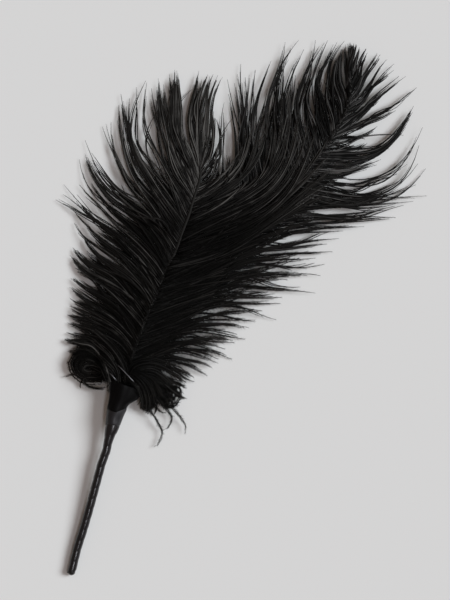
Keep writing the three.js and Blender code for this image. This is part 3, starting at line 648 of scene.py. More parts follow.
def tip_reach_at(share):
    return TIP_REACH + (TOP_TIP_REACH - TIP_REACH) * ease(*TURNING_UP_SHARES, share)


def spaced(count, rng):
    """Places across a lock, from -1 to 1, not quite even."""
    across = np.linspace(-1, 1, count) if count > 1 else np.zeros(1)
    return across + rng.normal(0, UNEVENNESS, count)


def reached_shares(across, rng):
    """How far along its course each barb ends. The middle one reaches furthest: a lock ends in a point."""
    reached = TIP_SHARE - LOCK_POINT * np.abs(across) ** 1.4 - rng.uniform(0, LOCK_POINT, len(across))
    reached[np.argmin(np.abs(across))] = TIP_SHARE
    return reached


def waves(count, t, size, rng):
    """A gentle sideways sway along each barb, none at its root."""
    turns = rng.uniform(0.6, 1.8, (count, 1)) * t + rng.uniform(0, 1, (count, 1))
    return np.sin(2 * math.pi * turns) * rng.normal(0, size, (count, 1)) * ease(0.1, 0.9, t)


def arched(root_z, tip_z, lift, t):
    """A height that rises a little from the root and then sinks to the tip."""
    arch = lift * np.sin(math.pi * np.clip(t, 0, 1)) ** ARCH_POWER
    z = root_z + (tip_z - root_z) * t**FALL_POWER + arch
    return np.maximum(z, FLOOR_CLEARANCE)


def rooted(shaft, share, side, overs, rng):
    """Where barbs leave their shaft: from its side or, as over nears 1, from places across its top."""
    root = shaft.at(share)
    over = np.interp(share, OVER_SHARES, overs)
    outwards = side * (ROOT_OUT - over * rng.uniform(0, ROOT_OVER, len(share)))
    root[:, :2] += direction(shaft.heading(share) + math.pi / 2) * outwards[:, None]
    root[:, 2] += ROOT_RISE + over
    return root


def lock_lines(shaft, lock, side, lift, over, rng):
    """The lines of one lock's barbs. side is 1 on the shaft's left and -1 on its right."""
    share, leave, x, y, tip_z, tip_heading, count, spread = lock
    across = spaced(count, rng)
    roots = np.clip(share + across * count * ROOT_STEP / 2 / shaft.length, *ROOT_SHARES)
    root = rooted(shaft, roots, side, over, rng)
    leaving = shaft.heading(roots) + side * np.radians(leave + rng.normal(0, ANGLE_SCATTER, count))
    meeting = np.radians(tip_heading + rng.normal(0, ANGLE_SCATTER, count) - side * across * FANNING)
    tip_side = direction(meeting + math.pi / 2) * -side
    tip = np.array([x, y]) + tip_side * (across * spread + rng.normal(0, TIP_SCATTER, count))[:, None]
    t = np.linspace(0, 1, STEPS)[None] * reached_shares(across, rng)[:, None]
    tip_reach = tip_reach_at(share)
    own = bent(root[:, :2], leaving, tip, meeting, tip_reach, t)
    middle = np.argmin(np.abs(across))
    centre = bent(
        np.repeat(root[middle : middle + 1, :2], count, 0),
        np.repeat(leaving[middle], count),
        np.repeat(np.array([[x, y]], float), count, 0),
        np.repeat(np.radians(tip_heading), count),
        tip_reach,
        t,
    )
    run = np.gradient(centre, axis=1)
    run /= np.linalg.norm(run, axis=-1, keepdims=True) + 1e-9
    beside = np.stack([-run[..., 1], run[..., 0]], axis=-1) * -side
    wide = spread * (WIDTH_AT_TIP + WIDTH_ADDED * (1 - t)) * across[:, None]
    gathered = centre + beside * wide[..., None]
    pull = (ease(*GATHERING_SHARES, t) * rng.uniform(*PULLS, (count, 1)))[..., None]
    flat = own * (1 - pull) + gathered * pull
    sway = waves(1, t[middle : middle + 1], SHARED_SWAY, rng) + waves(count, t, OWN_SWAY, rng)
    sway *= min(1.0, np.linalg.norm(tip[middle] - root[middle, :2]) / SWAYING_LENGTH)
    flat = flat + beside * sway[..., None]
    lifts = lift * rng.uniform(*LOCK_LIFTS) + rng.normal(0, LIFT_SCATTER, (count, 1))
    ends = tip_z + rng.normal(0, TIP_SCATTER, (count, 1))
    z = arched(root[:, 2:], ends, lifts, t)
    return np.concatenate([flat, z[..., None]], axis=-1)


def filling_lines(shaft, locks, side, number, reaches, lift, over, rng):
    """Shorter barbs between the locks, which make the vane dense near its shaft."""
    table = np.array(locks, float)
    table[:, 5] = np.unwrap(table[:, 5], period=360)
    share = rng.uniform(table[0, 0], FILLING_END, number)
    leave, x, y, tip_z, tip_heading = (np.interp(share, table[:, 0], table[:, k]) for k in range(1, 6))
    root = rooted(shaft, share, side, over, rng)
    stray = rng.random(number) < STRAY_SHARE
    leaving = shaft.heading(share) + side * np.radians(leave + rng.normal(0, FILLING_ROOT_SCATTER, number))
    meeting = np.radians(tip_heading + rng.normal(0, FILLING_TIP_SCATTER, number) * (1 + 2 * stray))
    tip = np.stack([x, y], axis=-1) + rng.normal(0, FILLING_SCATTER, (number, 2)) * (1 + 3 * stray)[:, None]
    reach = np.interp(share, FILLING_REACH_SHARES, reaches) * rng.uniform(*FILLING_REACHES, number)
    t = np.linspace(0, 1, STEPS)[None] * reach[:, None]
    flat = bent(root[:, :2], leaving, tip, meeting, tip_reach_at(share)[:, None], t)
    flat = flat + (direction(meeting + math.pi / 2))[:, None] * waves(number, t, FILLING_SWAY, rng)[..., None]
    lifts = lift * rng.uniform(*FILLING_LIFTS, (number, 1)) + STRAY_LIFT * stray[:, None]
    z = arched(root[:, 2:], tip_z[:, None], lifts, t)
    return np.concatenate([flat, z[..., None]], axis=-1)


def vane_lines(shaft, locks, side, lift, over, filling, reaches, seed):
    """A vane's barbs, how thick each is and how pale it may be."""
    rng = np.random.default_rng(seed)
    lines = [lock_lines(shaft, lock, side, lift, over, rng) for lock in locks]
    paleness = [np.full(len(part), rng.uniform(*LOCK_PALENESS)) for part in lines]
    count = sum(len(part) for part in lines)
    lines.append(filling_lines(shaft, locks, side, filling, reaches, lift, over, rng))
    widths = np.concatenate([np.full(count, 1.0), np.full(filling, FILLING_WIDTH)])
    paleness.append(np.full(filling, FILLING_PALENESS))
    return np.concatenate(lines), widths, np.concatenate(paleness)


def tuft_lines(tuft, rng):
    """Barbs that follow one given course."""
    count, root_spread, tip_spread, _, _, points = tuft
    course = Line(points)
    across = spaced(count, rng)
    share = np.linspace(0, 1, STEPS)[None] * np.minimum(reached_shares(across, rng), 1)[:, None]
    middle = course.at(share)
    beside = direction(course.heading(share) + math.pi / 2)
    wide = (root_spread + (tip_spread - root_spread) * share) * across[:, None]
    sway = wide + waves(count, share, 0.15 + 0.2 * tip_spread, rng)
    flat = middle[..., :2] + beside * sway[..., None]
    z = np.maximum(middle[..., 2] + rng.normal(0, TIP_SCATTER, (count, 1)), FLOOR_CLEARANCE)
    return np.concatenate([flat, z[..., None]], axis=-1)


def down_lines(patch, rng):
    """Short curled down with its roots scattered over a patch."""
    count, low, high, headings, lengths, curls, height = patch
    start = rng.uniform(low, high, (count, 2))
    heading = np.radians(rng.uniform(*headings, count))
    length = rng.uniform(*lengths, count)
    curl = rng.choice([-1.0, 1.0], count) * rng.uniform(*curls, count)
    t = np.linspace(0, 1, STEPS)[None]
    turned = heading[:, None] + curl[:, None] * t**1.5
    steps = direction(turned) * (length / (STEPS - 1))[:, None, None]
    flat = start[:, None] + np.cumsum(steps, axis=1)
    z = height * rng.uniform(0.6, 1.25, (count, 1)) * (1 - 0.5 * t) + 0.6 * np.sin(math.pi * t)
    return np.concatenate([flat, np.maximum(z, FLOOR_CLEARANCE)[..., None]], axis=-1)


# ---------------------------------------------------------------- barbs and barbules as mesh


def directions_along(lines):
    """The direction of each point of each line, and the directions beside and above it."""
    ahead = np.gradient(lines, axis=1)
    ahead /= np.linalg.norm(ahead, axis=-1, keepdims=True) + 1e-12
    beside = np.cross(ahead, UP)
    beside /= np.linalg.norm(beside, axis=-1, keepdims=True) + 1e-12
    return ahead, beside, np.cross(beside, ahead)


def strand_half_width(t):
    """A strand is narrower at its root, widest from its middle on and pointed at its tip."""
    return STRAND_HALF_WIDTH * (0.6 + 0.4 * ease(0, 0.5, t)) * (1 - 0.8 * t**5)


def strand_bodies(lines, thickness):
    """A closed, flattened, tapering tube on each line: corners, four-sided faces, end faces."""
    count, steps, _ = lines.shape
    _, beside, above = directions_along(lines)
    t = np.linspace(0, 1, steps)
    width = (strand_half_width(t)[None] * thickness[:, None])[..., None]
    height = (STRAND_HALF_HEIGHT * (1 - 0.85 * t**2)[None] * thickness[:, None])[..., None]
    ring = [lines + beside * width * across + above * height * up for across, up, _ in SECTION]
    corners = np.stack(ring, axis=2)
    first = (np.arange(count)[:, None] * steps + np.arange(steps - 1)[None]) * SIDES
    sides = []
    for k in range(SIDES):
        j = (k + 1) % SIDES
        sides.append(np.stack([first + k, first + SIDES + k, first + SIDES + j, first + j], axis=-1))
    quads = np.stack(sides, axis=2).reshape(-1, 4)
    start = np.arange(count) * steps * SIDES
    end = start + (steps - 1) * SIDES
    caps = [np.stack([start, start + k, start + k + 1], axis=-1) for k in range(1, SIDES - 1)]
    caps += [np.stack([end, end + k + 1, end + k], axis=-1) for k in range(1, SIDES - 1)]
    return corners.reshape(-1, 3), quads, np.concatenate(caps)


def barbules(lines, thickness, amount, fray, hair_length, rng):
    """Thin pointed hairs along both edges of every strand: corners, faces, and each hair's barb and share."""
    ahead, beside, above = directions_along(lines)
    lengths = np.linalg.norm(np.diff(lines, axis=1), axis=-1).sum(axis=1)
    barb = rng.choice(len(lines), amount, p=lengths / lengths.sum())
    share = rng.uniform(*BARBULE_SHARES, amount)
    place = share * (lines.shape[1] - 1)
    i = np.minimum(place.astype(int), lines.shape[1] - 2)
    u = (place - i)[:, None]
    middle = lines[barb, i] * (1 - u) + lines[barb, i + 1] * u
    along, side, up = ahead[barb, i], beside[barb, i], above[barb, i]
    hand = rng.choice([-1.0, 1.0], amount)[:, None]
    edge = (strand_half_width(share) * thickness[barb] * rng.uniform(*BARBULE_ROOTS, amount))[:, None]
    root = middle + side * hand * edge
    angle = np.radians(fray[barb] * rng.normal(1, BARBULE_ANGLES, amount) * (1 - 0.55 * share**2))[:, None]
    tilt = np.radians(rng.normal(0, BARBULE_TILT, amount))[:, None]
    out = side * hand * np.cos(tilt) + up * np.sin(tilt)
    length = hair_length[barb] * rng.uniform(*BARBULE_LENGTHS, amount)
    length = length * (0.6 + 0.4 * (1 - share**4))
    point = root + (along * np.cos(angle) + out * np.sin(angle)) * length[:, None]
    point[:, 2] = np.maximum(point[:, 2], FLOOR_CLEARANCE / 2)
    half = along * BARBULE_HALF_BASE * hand
    corners = np.stack([root + half, root - half, point], axis=1)
    faces = np.arange(amount * 3).reshape(-1, 3)
    return corners.reshape(-1, 3), faces, barb, share


def cell_map(quads, triangles):
    """A map with a cell of its own for each four-sided face, and one for each two triangles."""
    cells = quads + (triangles + 1) // 2
    grid = math.ceil(math.sqrt(cells))
    low, far, high = 0.1, 0.78, 0.9
    square = np.array([(low, low), (high, low), (high, high), (low, high)])
    lower = np.array([(low, low), (far, low), (low, far)])
    upper = 1 - lower
    order = np.arange(triangles)
    cell_of = np.concatenate([np.arange(quads), quads + order // 2])
    corner = np.stack([cell_of % grid, cell_of // grid], axis=-1)
    on_squares = corner[:quads, None] + square[None]
    halves = np.where((order % 2 == 0)[:, None, None], lower[None], upper[None])
    on_triangles = corner[quads:, None] + halves
    return np.concatenate([on_squares.reshape(-1, 2), on_triangles.reshape(-1, 2)]) / grid


def mesh_piece(name, corners, quads, triangles, smooth_triangles, attributes, material):
    """A mesh object from arrays, with a map of its own and a value per corner for each attribute."""
    mesh = bpy.data.meshes.new(name)
    mesh.vertices.add(len(corners))
    mesh.vertices.foreach_set("co", (corners * MM).astype(np.float32).ravel())
    loops = np.concatenate([quads.ravel(), triangles.ravel()])
    mesh.loops.add(len(loops))
    mesh.loops.foreach_set("vertex_index", loops.astype(np.int32))
    mesh.polygons.add(len(quads) + len(triangles))
    starts = np.concatenate([
        np.arange(len(quads)) * 4,
        len(quads) * 4 + np.arange(len(triangles)) * 3,
    ])
    mesh.polygons.foreach_set("loop_start", starts.astype(np.int32))
    smooth = np.zeros(len(quads) + len(triangles), bool)
    smooth[: len(quads) + smooth_triangles] = True
    mesh.polygons.foreach_set("use_smooth", smooth)
    mesh.update(calc_edges=True)
    for key, values in attributes.items():
        attribute = mesh.attributes.new(key, "FLOAT", "POINT")
        attribute.data.foreach_set("value", values.astype(np.float32))
    layer = mesh.uv_layers.new(name="OFBake")
    layer.data.foreach_set("uv", cell_map(len(quads), len(triangles)).astype(np.float32).ravel())
    mesh.materials.append(material)
    piece = bpy.data.objects.new(name, mesh)
    bpy.context.scene.collection.objects.link(piece)
    return piece


def make_barbs(name, lines, widths, fray, hair_length, pale, pale_places, seed, material, triangles):
    """One piece with all these barbs, whose barbules take what is left of the triangles.

    pale is how pale each barb may be: few of them are. pale_places is a factor for it at each of PALENESS_YS,
    a painted highlight that changes with place.
    """
    rng = np.random.default_rng(seed)
    amount = triangles - len(lines) * STRAND_TRIANGLES
    bareness_and_highlight = rng.uniform(0, 1, len(lines)) ** BARE_AND_LIT_POWER
    thickness = (rng.uniform(*THICKNESSES, len(lines)) + BARE_AND_LIT_THICKER * bareness_and_highlight) * widths
    # The paleness that bare barbs gain is a painted highlight.
    shade = (PALE_LEAST + PALE_ADDED * bareness_and_highlight) * pale
    bodies, quads, caps = strand_bodies(lines, thickness)
    hairs, hair_faces, hair_barb, hair_share = barbules(lines, thickness, amount, fray, hair_length, rng)
    steps = lines.shape[1]
    corners = np.concatenate([bodies, hairs])
    strand = np.concatenate([np.repeat(shade, steps * SIDES), np.repeat(shade[hair_barb], 3)])
    # Painted highlight by place: the barbs are painted paler higher on the pick and darker low down.
    strand *= np.interp(corners[:, 1], PALENESS_YS, pale_places)
    reach_on_bodies = np.tile(np.repeat(np.linspace(0, 1, steps), SIDES), len(lines))
    reach = np.concatenate([reach_on_bodies, np.repeat(hair_share, 3)])
    fuzz_on_bodies = np.tile([fuzz for _, _, fuzz in SECTION], len(lines) * steps)
    fuzz = np.concatenate([fuzz_on_bodies, np.tile([0.9, 0.9, 1.0], amount)])
    return mesh_piece(
        name,
        corners,
        quads,
        np.concatenate([caps, hair_faces + len(bodies)]),
        len(caps),
        {"strand": strand, "reach": reach, "fuzz": fuzz},
        material,
    )


# ---------------------------------------------------------------- materials


BARB_IOR = 1.16  # lower than horn's, for the barbules trap light
PATCH_NOISE = (160, 3)  # scale and detail of the noise that makes the barbs' painted highlight stronger in patches
BROAD_NOISE = (220, 2)  # and of the noise under the grain
SURFACE_COLOUR = (0.78, 0.78, 0.775, 1)


def new_material(name):
    """A material, its tree of nodes and its shader."""
    material = bpy.data.materials.new(name)
    material.use_nodes = True
    return material, material.node_tree, material.node_tree.nodes["Principled BSDF"]


def set_inputs(tree, node, inputs):
    """Each input gets its value, or a link from another node's output."""
    for key, value in inputs.items():
        if isinstance(value, bpy.types.NodeSocket):
            tree.links.new(value, node.inputs[key])
        else:
            node.inputs[key].default_value = value


def add_node(tree, kind, inputs=None):
    node = tree.nodes.new(kind)
    set_inputs(tree, node, inputs or {})
    return node


def colour_mix(tree, factor, a, b):
    node = tree.nodes.new("ShaderNodeMix")
    node.data_type = "RGBA"
    set_inputs(tree, node, {"Factor": factor, "A": a, "B": b})
    return node.outputs["Result"]


def noise_at(tree, vector, scale, detail):
    noise = add_node(tree, "ShaderNodeTexNoise", {"Vector": vector, "Scale": scale, "Detail": detail})
    return noise.outputs["Fac"]


def in_range(tree, value, inputs):
    """A value mapped to a new range."""
    return add_node(tree, "ShaderNodeMapRange", {"Value": value, **inputs}).outputs["Result"]


def object_places(tree):
    return add_node(tree, "ShaderNodeTexCoord").outputs["Object"]


def group_sockets(group, inputs, outputs):
    for name, kind, value in inputs:
        socket = group.interface.new_socket(name, in_out="INPUT", socket_type=kind)
        socket.default_value = value
    for name, kind in outputs:
        group.interface.new_socket(name, in_out="OUTPUT", socket_type=kind)
    return group.nodes.new("NodeGroupInput").outputs, group.nodes.new("NodeGroupOutput")


def strand_shade_group():
    """Colour and roughness of dyed barbs: a painted highlight along each strand's smooth ridge, dull dark
    barbules and browner thin tips.
    """
    group = bpy.data.node_groups.new("strand_shade", "ShaderNodeTree")
    given, outside = group_sockets(
        group,
        [
            ("Deep", "NodeSocketColor", (0.003, 0.003, 0.003, 1)),
            ("Ridge highlight", "NodeSocketColor", (0.03, 0.03, 0.03, 1)),
            ("Thin", "NodeSocketColor", (0.02, 0.018, 0.015, 1)),
        ],
        [("Color", "NodeSocketColor"), ("Roughness", "NodeSocketFloat")],
    )

    def attribute(name):
        node = group.nodes.new("ShaderNodeAttribute")
        node.attribute_name = name
        return node.outputs["Fac"]

    def math_node(operation, a, b):
        node = add_node(group, "ShaderNodeMath", {0: a, 1: b})
        node.operation = operation
        return node.outputs[0]

    strand, reach, fuzz = attribute("strand"), attribute("reach"), attribute("fuzz")
    noise = noise_at(group, object_places(group), *PATCH_NOISE)
    patches = in_range(group, noise, {"From Min": 0.35, "From Max": 0.65, "To Min": 0.5, "To Max": 1.6})
    # The strands' ridges are painted paler as a highlight, stronger in the noise's patches.
    bare = math_node("POWER", math_node("SUBTRACT", 1.0, fuzz), 1.3)
    shown = math_node("ADD", math_node("MULTIPLY", bare, 0.92), 0.08)
    ridge = math_node("MULTIPLY", shown, math_node("MULTIPLY", strand, patches))
    thin = math_node("MULTIPLY", math_node("POWER", reach, 3.0), 0.6)
    body = colour_mix(group, ridge, given["Deep"], given["Ridge highlight"])
    set_inputs(group, outside, {
        "Color": colour_mix(group, thin, body, given["Thin"]),
        "Roughness": in_range(group, fuzz, {"To Min": 0.4, "To Max": 0.9}),
    })
    return group


def barb_material(name, group, deep, ridge, thin):
    material, tree, shader = new_material(name)
    shade = tree.nodes.new("ShaderNodeGroup")
    shade.node_tree = group
    set_inputs(tree, shade, {"Deep": (*deep, 1), "Ridge highlight": (*ridge, 1), "Thin": (*thin, 1)})
    set_inputs(tree, shader, {
        "Base Color": shade.outputs["Color"],
        "Roughness": shade.outputs["Roughness"],
        "IOR": BARB_IOR,
    })
    return material


def grain_group():
    """A fine, drawn-out grain with some larger unevenness, as a height and a mask."""
    group = bpy.data.node_groups.new("drawn_grain", "ShaderNodeTree")
    given, outside = group_sockets(
        group,
        [
            ("Stretch", "NodeSocketVector", (1.0, 1.0, 1.0)),
            ("Scale", "NodeSocketFloat", 1000.0),
            ("Unevenness", "NodeSocketFloat", 0.4),
        ],
        [("Height", "NodeSocketFloat"), ("Mask", "NodeSocketFloat")],
    )
    places = object_places(group)
    stretched = add_node(group, "ShaderNodeVectorMath", {0: places, 1: given["Stretch"]})
    stretched.operation = "MULTIPLY"
    fine = noise_at(group, stretched.outputs[0], given["Scale"], 4)
    broad = noise_at(group, places, *BROAD_NOISE)
    mixed = add_node(group, "ShaderNodeMix", {"Factor": given["Unevenness"], "A": fine, "B": broad})
    set_inputs(group, outside, {"Height": mixed.outputs["Result"], "Mask": broad})
    return group


def grained_material(name, group, dark, light, rough, scale, stretch, depth, metallic=0.0, ior=1.5):
    """A surface with a drawn grain, whose colour and roughness follow its unevenness."""
    material, tree, shader = new_material(name)
    grain = tree.nodes.new("ShaderNodeGroup")
    grain.node_tree = group
    set_inputs(tree, grain, {"Stretch": stretch, "Scale": scale})
    height = grain.outputs["Height"]
    bump = add_node(tree, "ShaderNodeBump", {"Strength": 0.6, "Distance": depth * MM, "Height": height})
    set_inputs(tree, shader, {
        "Base Color": colour_mix(tree, grain.outputs["Mask"], (*dark, 1), (*light, 1)),
        "Roughness": in_range(
            tree, height, {"From Min": 0.3, "From Max": 0.7, "To Min": rough[0], "To Max": rough[1]}
        ),
        "Metallic": metallic,
        "IOR": ior,
        "Normal": bump.outputs["Normal"],
    })
    return material


def floor_material():
    material, tree, shader = new_material("pale_surface")
    set_inputs(tree, shader, {"Base Color": SURFACE_COLOUR, "Roughness": 0.9})
    return material


# ---------------------------------------------------------------- shafts and wrapping, by hand


def to_metres(point):
    return tuple(float(v) * MM for v in point)


def active_piece(name):
    piece = bpy.context.object
    piece.name = name
    piece.data.name = name
    return piece


def apply_modifiers(piece):
    bpy.context.view_layer.objects.active = piece
    for modifier in list(piece.modifiers):
        bpy.ops.object.modifier_apply(modifier=modifier.name)


def finish_piece(piece, material, nodes):
    """Gives a piece its finish and its place in the frame."""
    if material is not None:
        piece.data.materials.clear()
        piece.data.materials.append(material)
    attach(piece, BODY)
    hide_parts(*nodes)
    piece.select_set(False)


def first_ring(name, sides, radius, place, rotation, fill):
    """The ring that a piece is drawn out from, left selected in edit mode."""
    bpy.ops.object.select_all(action="DESELECT")
    bpy.ops.mesh.primitive_circle_add(
        vertices=sides, radius=radius * MM, fill_type=fill, location=place, rotation=rotation
    )
    piece = active_piece(name)
    bpy.ops.object.transform_apply(location=True, rotation=True, scale=True)
    bpy.ops.object.mode_set(mode="EDIT")
    bpy.ops.mesh.select_all(action="SELECT")
    return piece


def leave_rings():
    bpy.ops.mesh.select_all(action="SELECT")
    bpy.ops.mesh.normals_make_consistent(inside=False)
    bpy.ops.object.mode_set(mode="OBJECT")


SHAFT_STEPS = 44
SHAFT_SIDES = 10
STEM_STEPS = 90


def make_shaft(name, line, root_radius, tip_radius, material, node):
    """A shaft drawn out ring by ring from its root to its tip, turning with its line."""
    start = to_metres(line.at(0.0))
    heading = float(line.heading(0.0))
    facing = (math.pi / 2, 0, heading + math.pi / 2)
    shaft = first_ring(name, SHAFT_SIDES, root_radius, start, facing, "NGON")
    before = np.array(start)
    width = root_radius
    for i in range(1, SHAFT_STEPS + 1):
        share = i / SHAFT_STEPS
        place = np.array(to_metres(line.at(share)))
        bpy.ops.mesh.extrude_region_move(TRANSFORM_OT_translate={"value": tuple(place - before)})
        turn = float(line.heading(share)) - heading
        bpy.ops.transform.rotate(value=-turn, orient_axis="Z", center_override=tuple(place))
        new_width = root_radius + (tip_radius - root_radius) * share**0.8
        size = new_width / width
        bpy.ops.transform.resize(value=(size, size, size), center_override=tuple(place))
        before, heading, width = place, heading + turn, new_width
    leave_rings()
    bpy.ops.object.shade_smooth_by_angle(angle=math.radians(50))
    finish_piece(shaft, material, [node])


def poly_curve(name, places):
    """A curve object with straight steps through places, in metres."""
    data = bpy.data.curves.new(name, "CURVE")
    data.dimensions = "3D"
    spline = data.splines.new("POLY")
    spline.points.add(len(places) - 1)
    for point, place in zip(spline.points, places):
        point.co = (*place, 1)
    curve = bpy.data.objects.new(name, data)
    bpy.context.scene.collection.objects.link(curve)
    return curve


def stem_guide():
    """The stem's line as a curve that straight pieces are bent along."""
    guide = poly_curve("stem_line", STEM.at(np.linspace(0, 1, STEM_STEPS)) * MM)
    guide.data.twist_mode = "Z_UP"
    return guide


def bend_on_stem(piece, guide):
    """Bends a piece that was made straight along X onto the stem's line."""
    bend = piece.modifiers.new("bend", "CURVE")
    bend.object = guide
    bend.deform_axis = "POS_X"
    apply_modifiers(piece)


def along_stem(y):
    """How far along the stem, in millimetres, it reaches a given y."""
    return STEM.share_at_y(y) * STEM.length


TAPE_PITCH = 5.4
TAPE_FREE = 1.5  # what the turns leave of the stem's length
TAPE_RADIUS = 1.9
TAPE_TUCK = 0.2  # how far a turn's upper edge is tucked under the next turn
TAPE_TOP_Y = -56.5
TAPE_START = 0.6  # the strip's first edge, from the stem's end
TAPE_EDGE = 0.05  # how much lower that edge lies
TAPE_WALL = 0.24
STEM_END_AT = 2.0  # the middle of the rounded end
WIDENING = (-69.0, -55.5)  # the stem widens under the neck between these two y
WIDER = 0.75  # by this share of its width
THICKER = 0.35  # and its height by this share of that


def make_tape(guide, material):
    """The wound tape: a slanted strip screwed round the stem, with a rounded end, widening under the neck."""
    bpy.ops.object.select_all(action="DESELECT")
    top = along_stem(TAPE_TOP_Y)
    turns = round((top - TAPE_FREE) / TAPE_PITCH)
    pitch = (top - TAPE_FREE) / (turns + 0.2)
    outer = TAPE_RADIUS * MM
    inner = (TAPE_RADIUS - TAPE_TUCK) * MM
    bpy.ops.mesh.primitive_plane_add(size=1)
    tape = active_piece("stem_tape_winding")
    bpy.ops.object.mode_set(mode="EDIT")
    bpy.ops.mesh.select_all(action="SELECT")
    bpy.ops.mesh.merge(type="CENTER")
    x, y = TAPE_START * MM, outer - TAPE_EDGE * MM
    bpy.ops.transform.translate(value=(x, y, 0))
    profile = [(0.5, outer), (1.8, outer), (3.6, outer - 0.03 * MM), (pitch + 0.9, inner)]
    for step_x, step_y in profile:
        goal = (TAPE_START + step_x) * MM
        bpy.ops.mesh.extrude_region_move(TRANSFORM_OT_translate={"value": (goal - x, step_y - y, 0)})
        x, y = goal, step_y
    bpy.ops.object.mode_set(mode="OBJECT")
    screw = tape.modifiers.new("screw", "SCREW")
    screw.axis = "X"
    screw.screw_offset = pitch * MM
    screw.iterations = turns
    screw.steps = screw.render_steps = 20
    screw.use_smooth_shade = True
    wall = tape.modifiers.new("wall", "SOLIDIFY")
    wall.thickness = TAPE_WALL * MM
    apply_modifiers(tape)
    widen_under_neck(tape)
    bpy.ops.mesh.primitive_uv_sphere_add(
        segments=20, ring_count=12, radius=(TAPE_RADIUS - 0.02) * MM, location=(STEM_END_AT * MM, 0, 0),
        rotation=(0, math.pi / 2, 0),
    )
    active_piece("stem_end")
    bpy.ops.object.shade_smooth()
    tape.select_set(True)
    bpy.context.view_layer.objects.active = tape
    bpy.ops.object.join()
    bpy.ops.object.transform_apply(location=True, rotation=True, scale=True)
    bend_on_stem(tape, guide)
    bpy.ops.object.shade_smooth_by_angle(angle=math.radians(40))
    finish_piece(tape, material, ["stem_tape"])


def widen_under_neck(piece):
    start, end = (along_stem(y) * MM for y in WIDENING)
    for vertex in piece.data.vertices:
        grow = 1 + WIDER * ease(start, end, vertex.co.x) ** 1.4
        vertex.co.y *= grow
        vertex.co.z *= 1 + THICKER * (grow - 1)


def drawn_sleeve(name, rings, sides):
    """A straight sleeve along X, drawn out ring by ring. A ring is (x, right, left, height), in mm."""

    def middle(ring):
        x, right, left, _ = ring
        return (x * MM, (left - right) / 2 * MM, 0)

    def size(ring):
        _, right, left, height = ring
        return np.array([(right + left) / 2, height])

    sleeve = first_ring(name, sides, 1, middle(rings[0]), (0, math.pi / 2, 0), "NOTHING")
    wide, high = size(rings[0])
    bpy.ops.transform.resize(value=(1, wide, high), center_override=middle(rings[0]))
    for last, ring in zip(rings, rings[1:]):
        step = np.array(middle(ring)) - np.array(middle(last))
        bpy.ops.mesh.extrude_region_move(TRANSFORM_OT_translate={"value": tuple(step)})
        wide, high = size(ring) / size(last)
        bpy.ops.transform.resize(value=(1, wide, high), center_override=middle(ring))
    leave_rings()
    return sleeve


WRAP_WALL = 0.35
BAND_LOW_Y = -57.2
CREASE = 0.07  # how deep the band's three creases are
CREASE_TWIST = 900  # radians per metre
COLLAR_LOW_Y = -50.8
COLLAR_LENGTH = 14.7
# The collar's pleats, broad and fine: (how many go round, depth, where they start in radians)
PLEATS = [(5, 0.2, 1.0), (11, 0.08, 2.0)]
# A raised fold along the collar: height, where it lies round the collar and how wide it is, in radians
FOLD_HEIGHT, FOLD_TURN, FOLD_WIDTH = (0.55, 0.45, 0.16)
COLLAR_SLANT = 0.75  # how much higher the lower edge starts towards the right


def push_out(vertex, turn, push):
    vertex.co.y += push * math.cos(turn)
    vertex.co.z += push * math.sin(turn)


def finish_wrap(piece, levels, guide, material, node):
    """Gives a sleeve its thickness, smooths it, bends it onto the stem and finishes it."""
    wall = piece.modifiers.new("wall", "SOLIDIFY")
    wall.thickness = WRAP_WALL * MM
    wall.offset = -1
    smooth = piece.modifiers.new("smooth", "SUBSURF")
    smooth.levels = smooth.render_levels = levels
    apply_modifiers(piece)
    bend_on_stem(piece, guide)
    bpy.ops.object.shade_smooth()
    finish_piece(piece, material, [node])


def make_band(guide, material):
    """The smooth band of tape round the neck, with a raised lower edge."""
    low = along_stem(BAND_LOW_Y)
    rings = [
        (low, 3.4, 3.5, 3.4),
        (low + 0.25, 3.75, 3.85, 3.7),
        (low + 0.9, 3.85, 3.9, 3.8),
        (low + 2.6, 4.0, 4.1, 3.9),
        (low + 4.4, 4.3, 4.35, 4.05),
        (low + 6.2, 4.6, 4.5, 4.2),
        (low + 8.0, 4.9, 4.6, 4.3),
        (low + 9.6, 4.9, 4.5, 4.2),
    ]
    band = drawn_sleeve("neck_band_wrap", rings, 32)
    for vertex in band.data.vertices:
        turn = math.atan2(vertex.co.z, vertex.co.y)
        crease = CREASE * math.sin(3 * turn + vertex.co.x * CREASE_TWIST) * MM
        push_out(vertex, turn, crease)
    finish_wrap(band, 2, guide, material, "neck_band")


def make_collar(guide, material):
    """The flared ribbon above the band: pleated lengthwise, standing out to the right."""
    low = along_stem(COLLAR_LOW_Y)
    rings = [
        (low, 4.8, 4.7, 4.4),
        (low + 1.2, 4.9, 4.75, 4.45),
        (low + 2.7, 5.1, 4.8, 4.5),
        (low + 4.2, 6.0, 4.9, 4.5),
        (low + 5.7, 7.4, 5.1, 4.6),
        (low + 7.2, 8.5, 5.5, 4.7),
        (low + 9.2, 9.2, 6.2, 4.9),
        (low + 11.7, 9.6, 7.0, 5.1),
        (low + COLLAR_LENGTH, 9.8, 8.0, 5.3),
    ]
    collar = drawn_sleeve("collar_ribbon_wrap", rings, 48)
    start = low * MM
    for vertex in collar.data.vertices:
        turn = math.atan2(vertex.co.z, vertex.co.y)
        open_share = min(1.0, (vertex.co.x - start) / (COLLAR_LENGTH * MM))
        pleats = sum(depth * math.sin(count * turn + first) for count, depth, first in PLEATS)
        fold = FOLD_HEIGHT * math.exp(-(((turn - FOLD_TURN) / FOLD_WIDTH) ** 2))
        push = (pleats * open_share + fold * min(1.0, 4 * open_share)) * MM
        vertex.co.x += COLLAR_SLANT * max(0.0, -vertex.co.y - 0.5 * MM) * (1 - open_share) ** 2
        push_out(vertex, turn, push)
    finish_wrap(collar, 1, guide, material, "collar_ribbon")


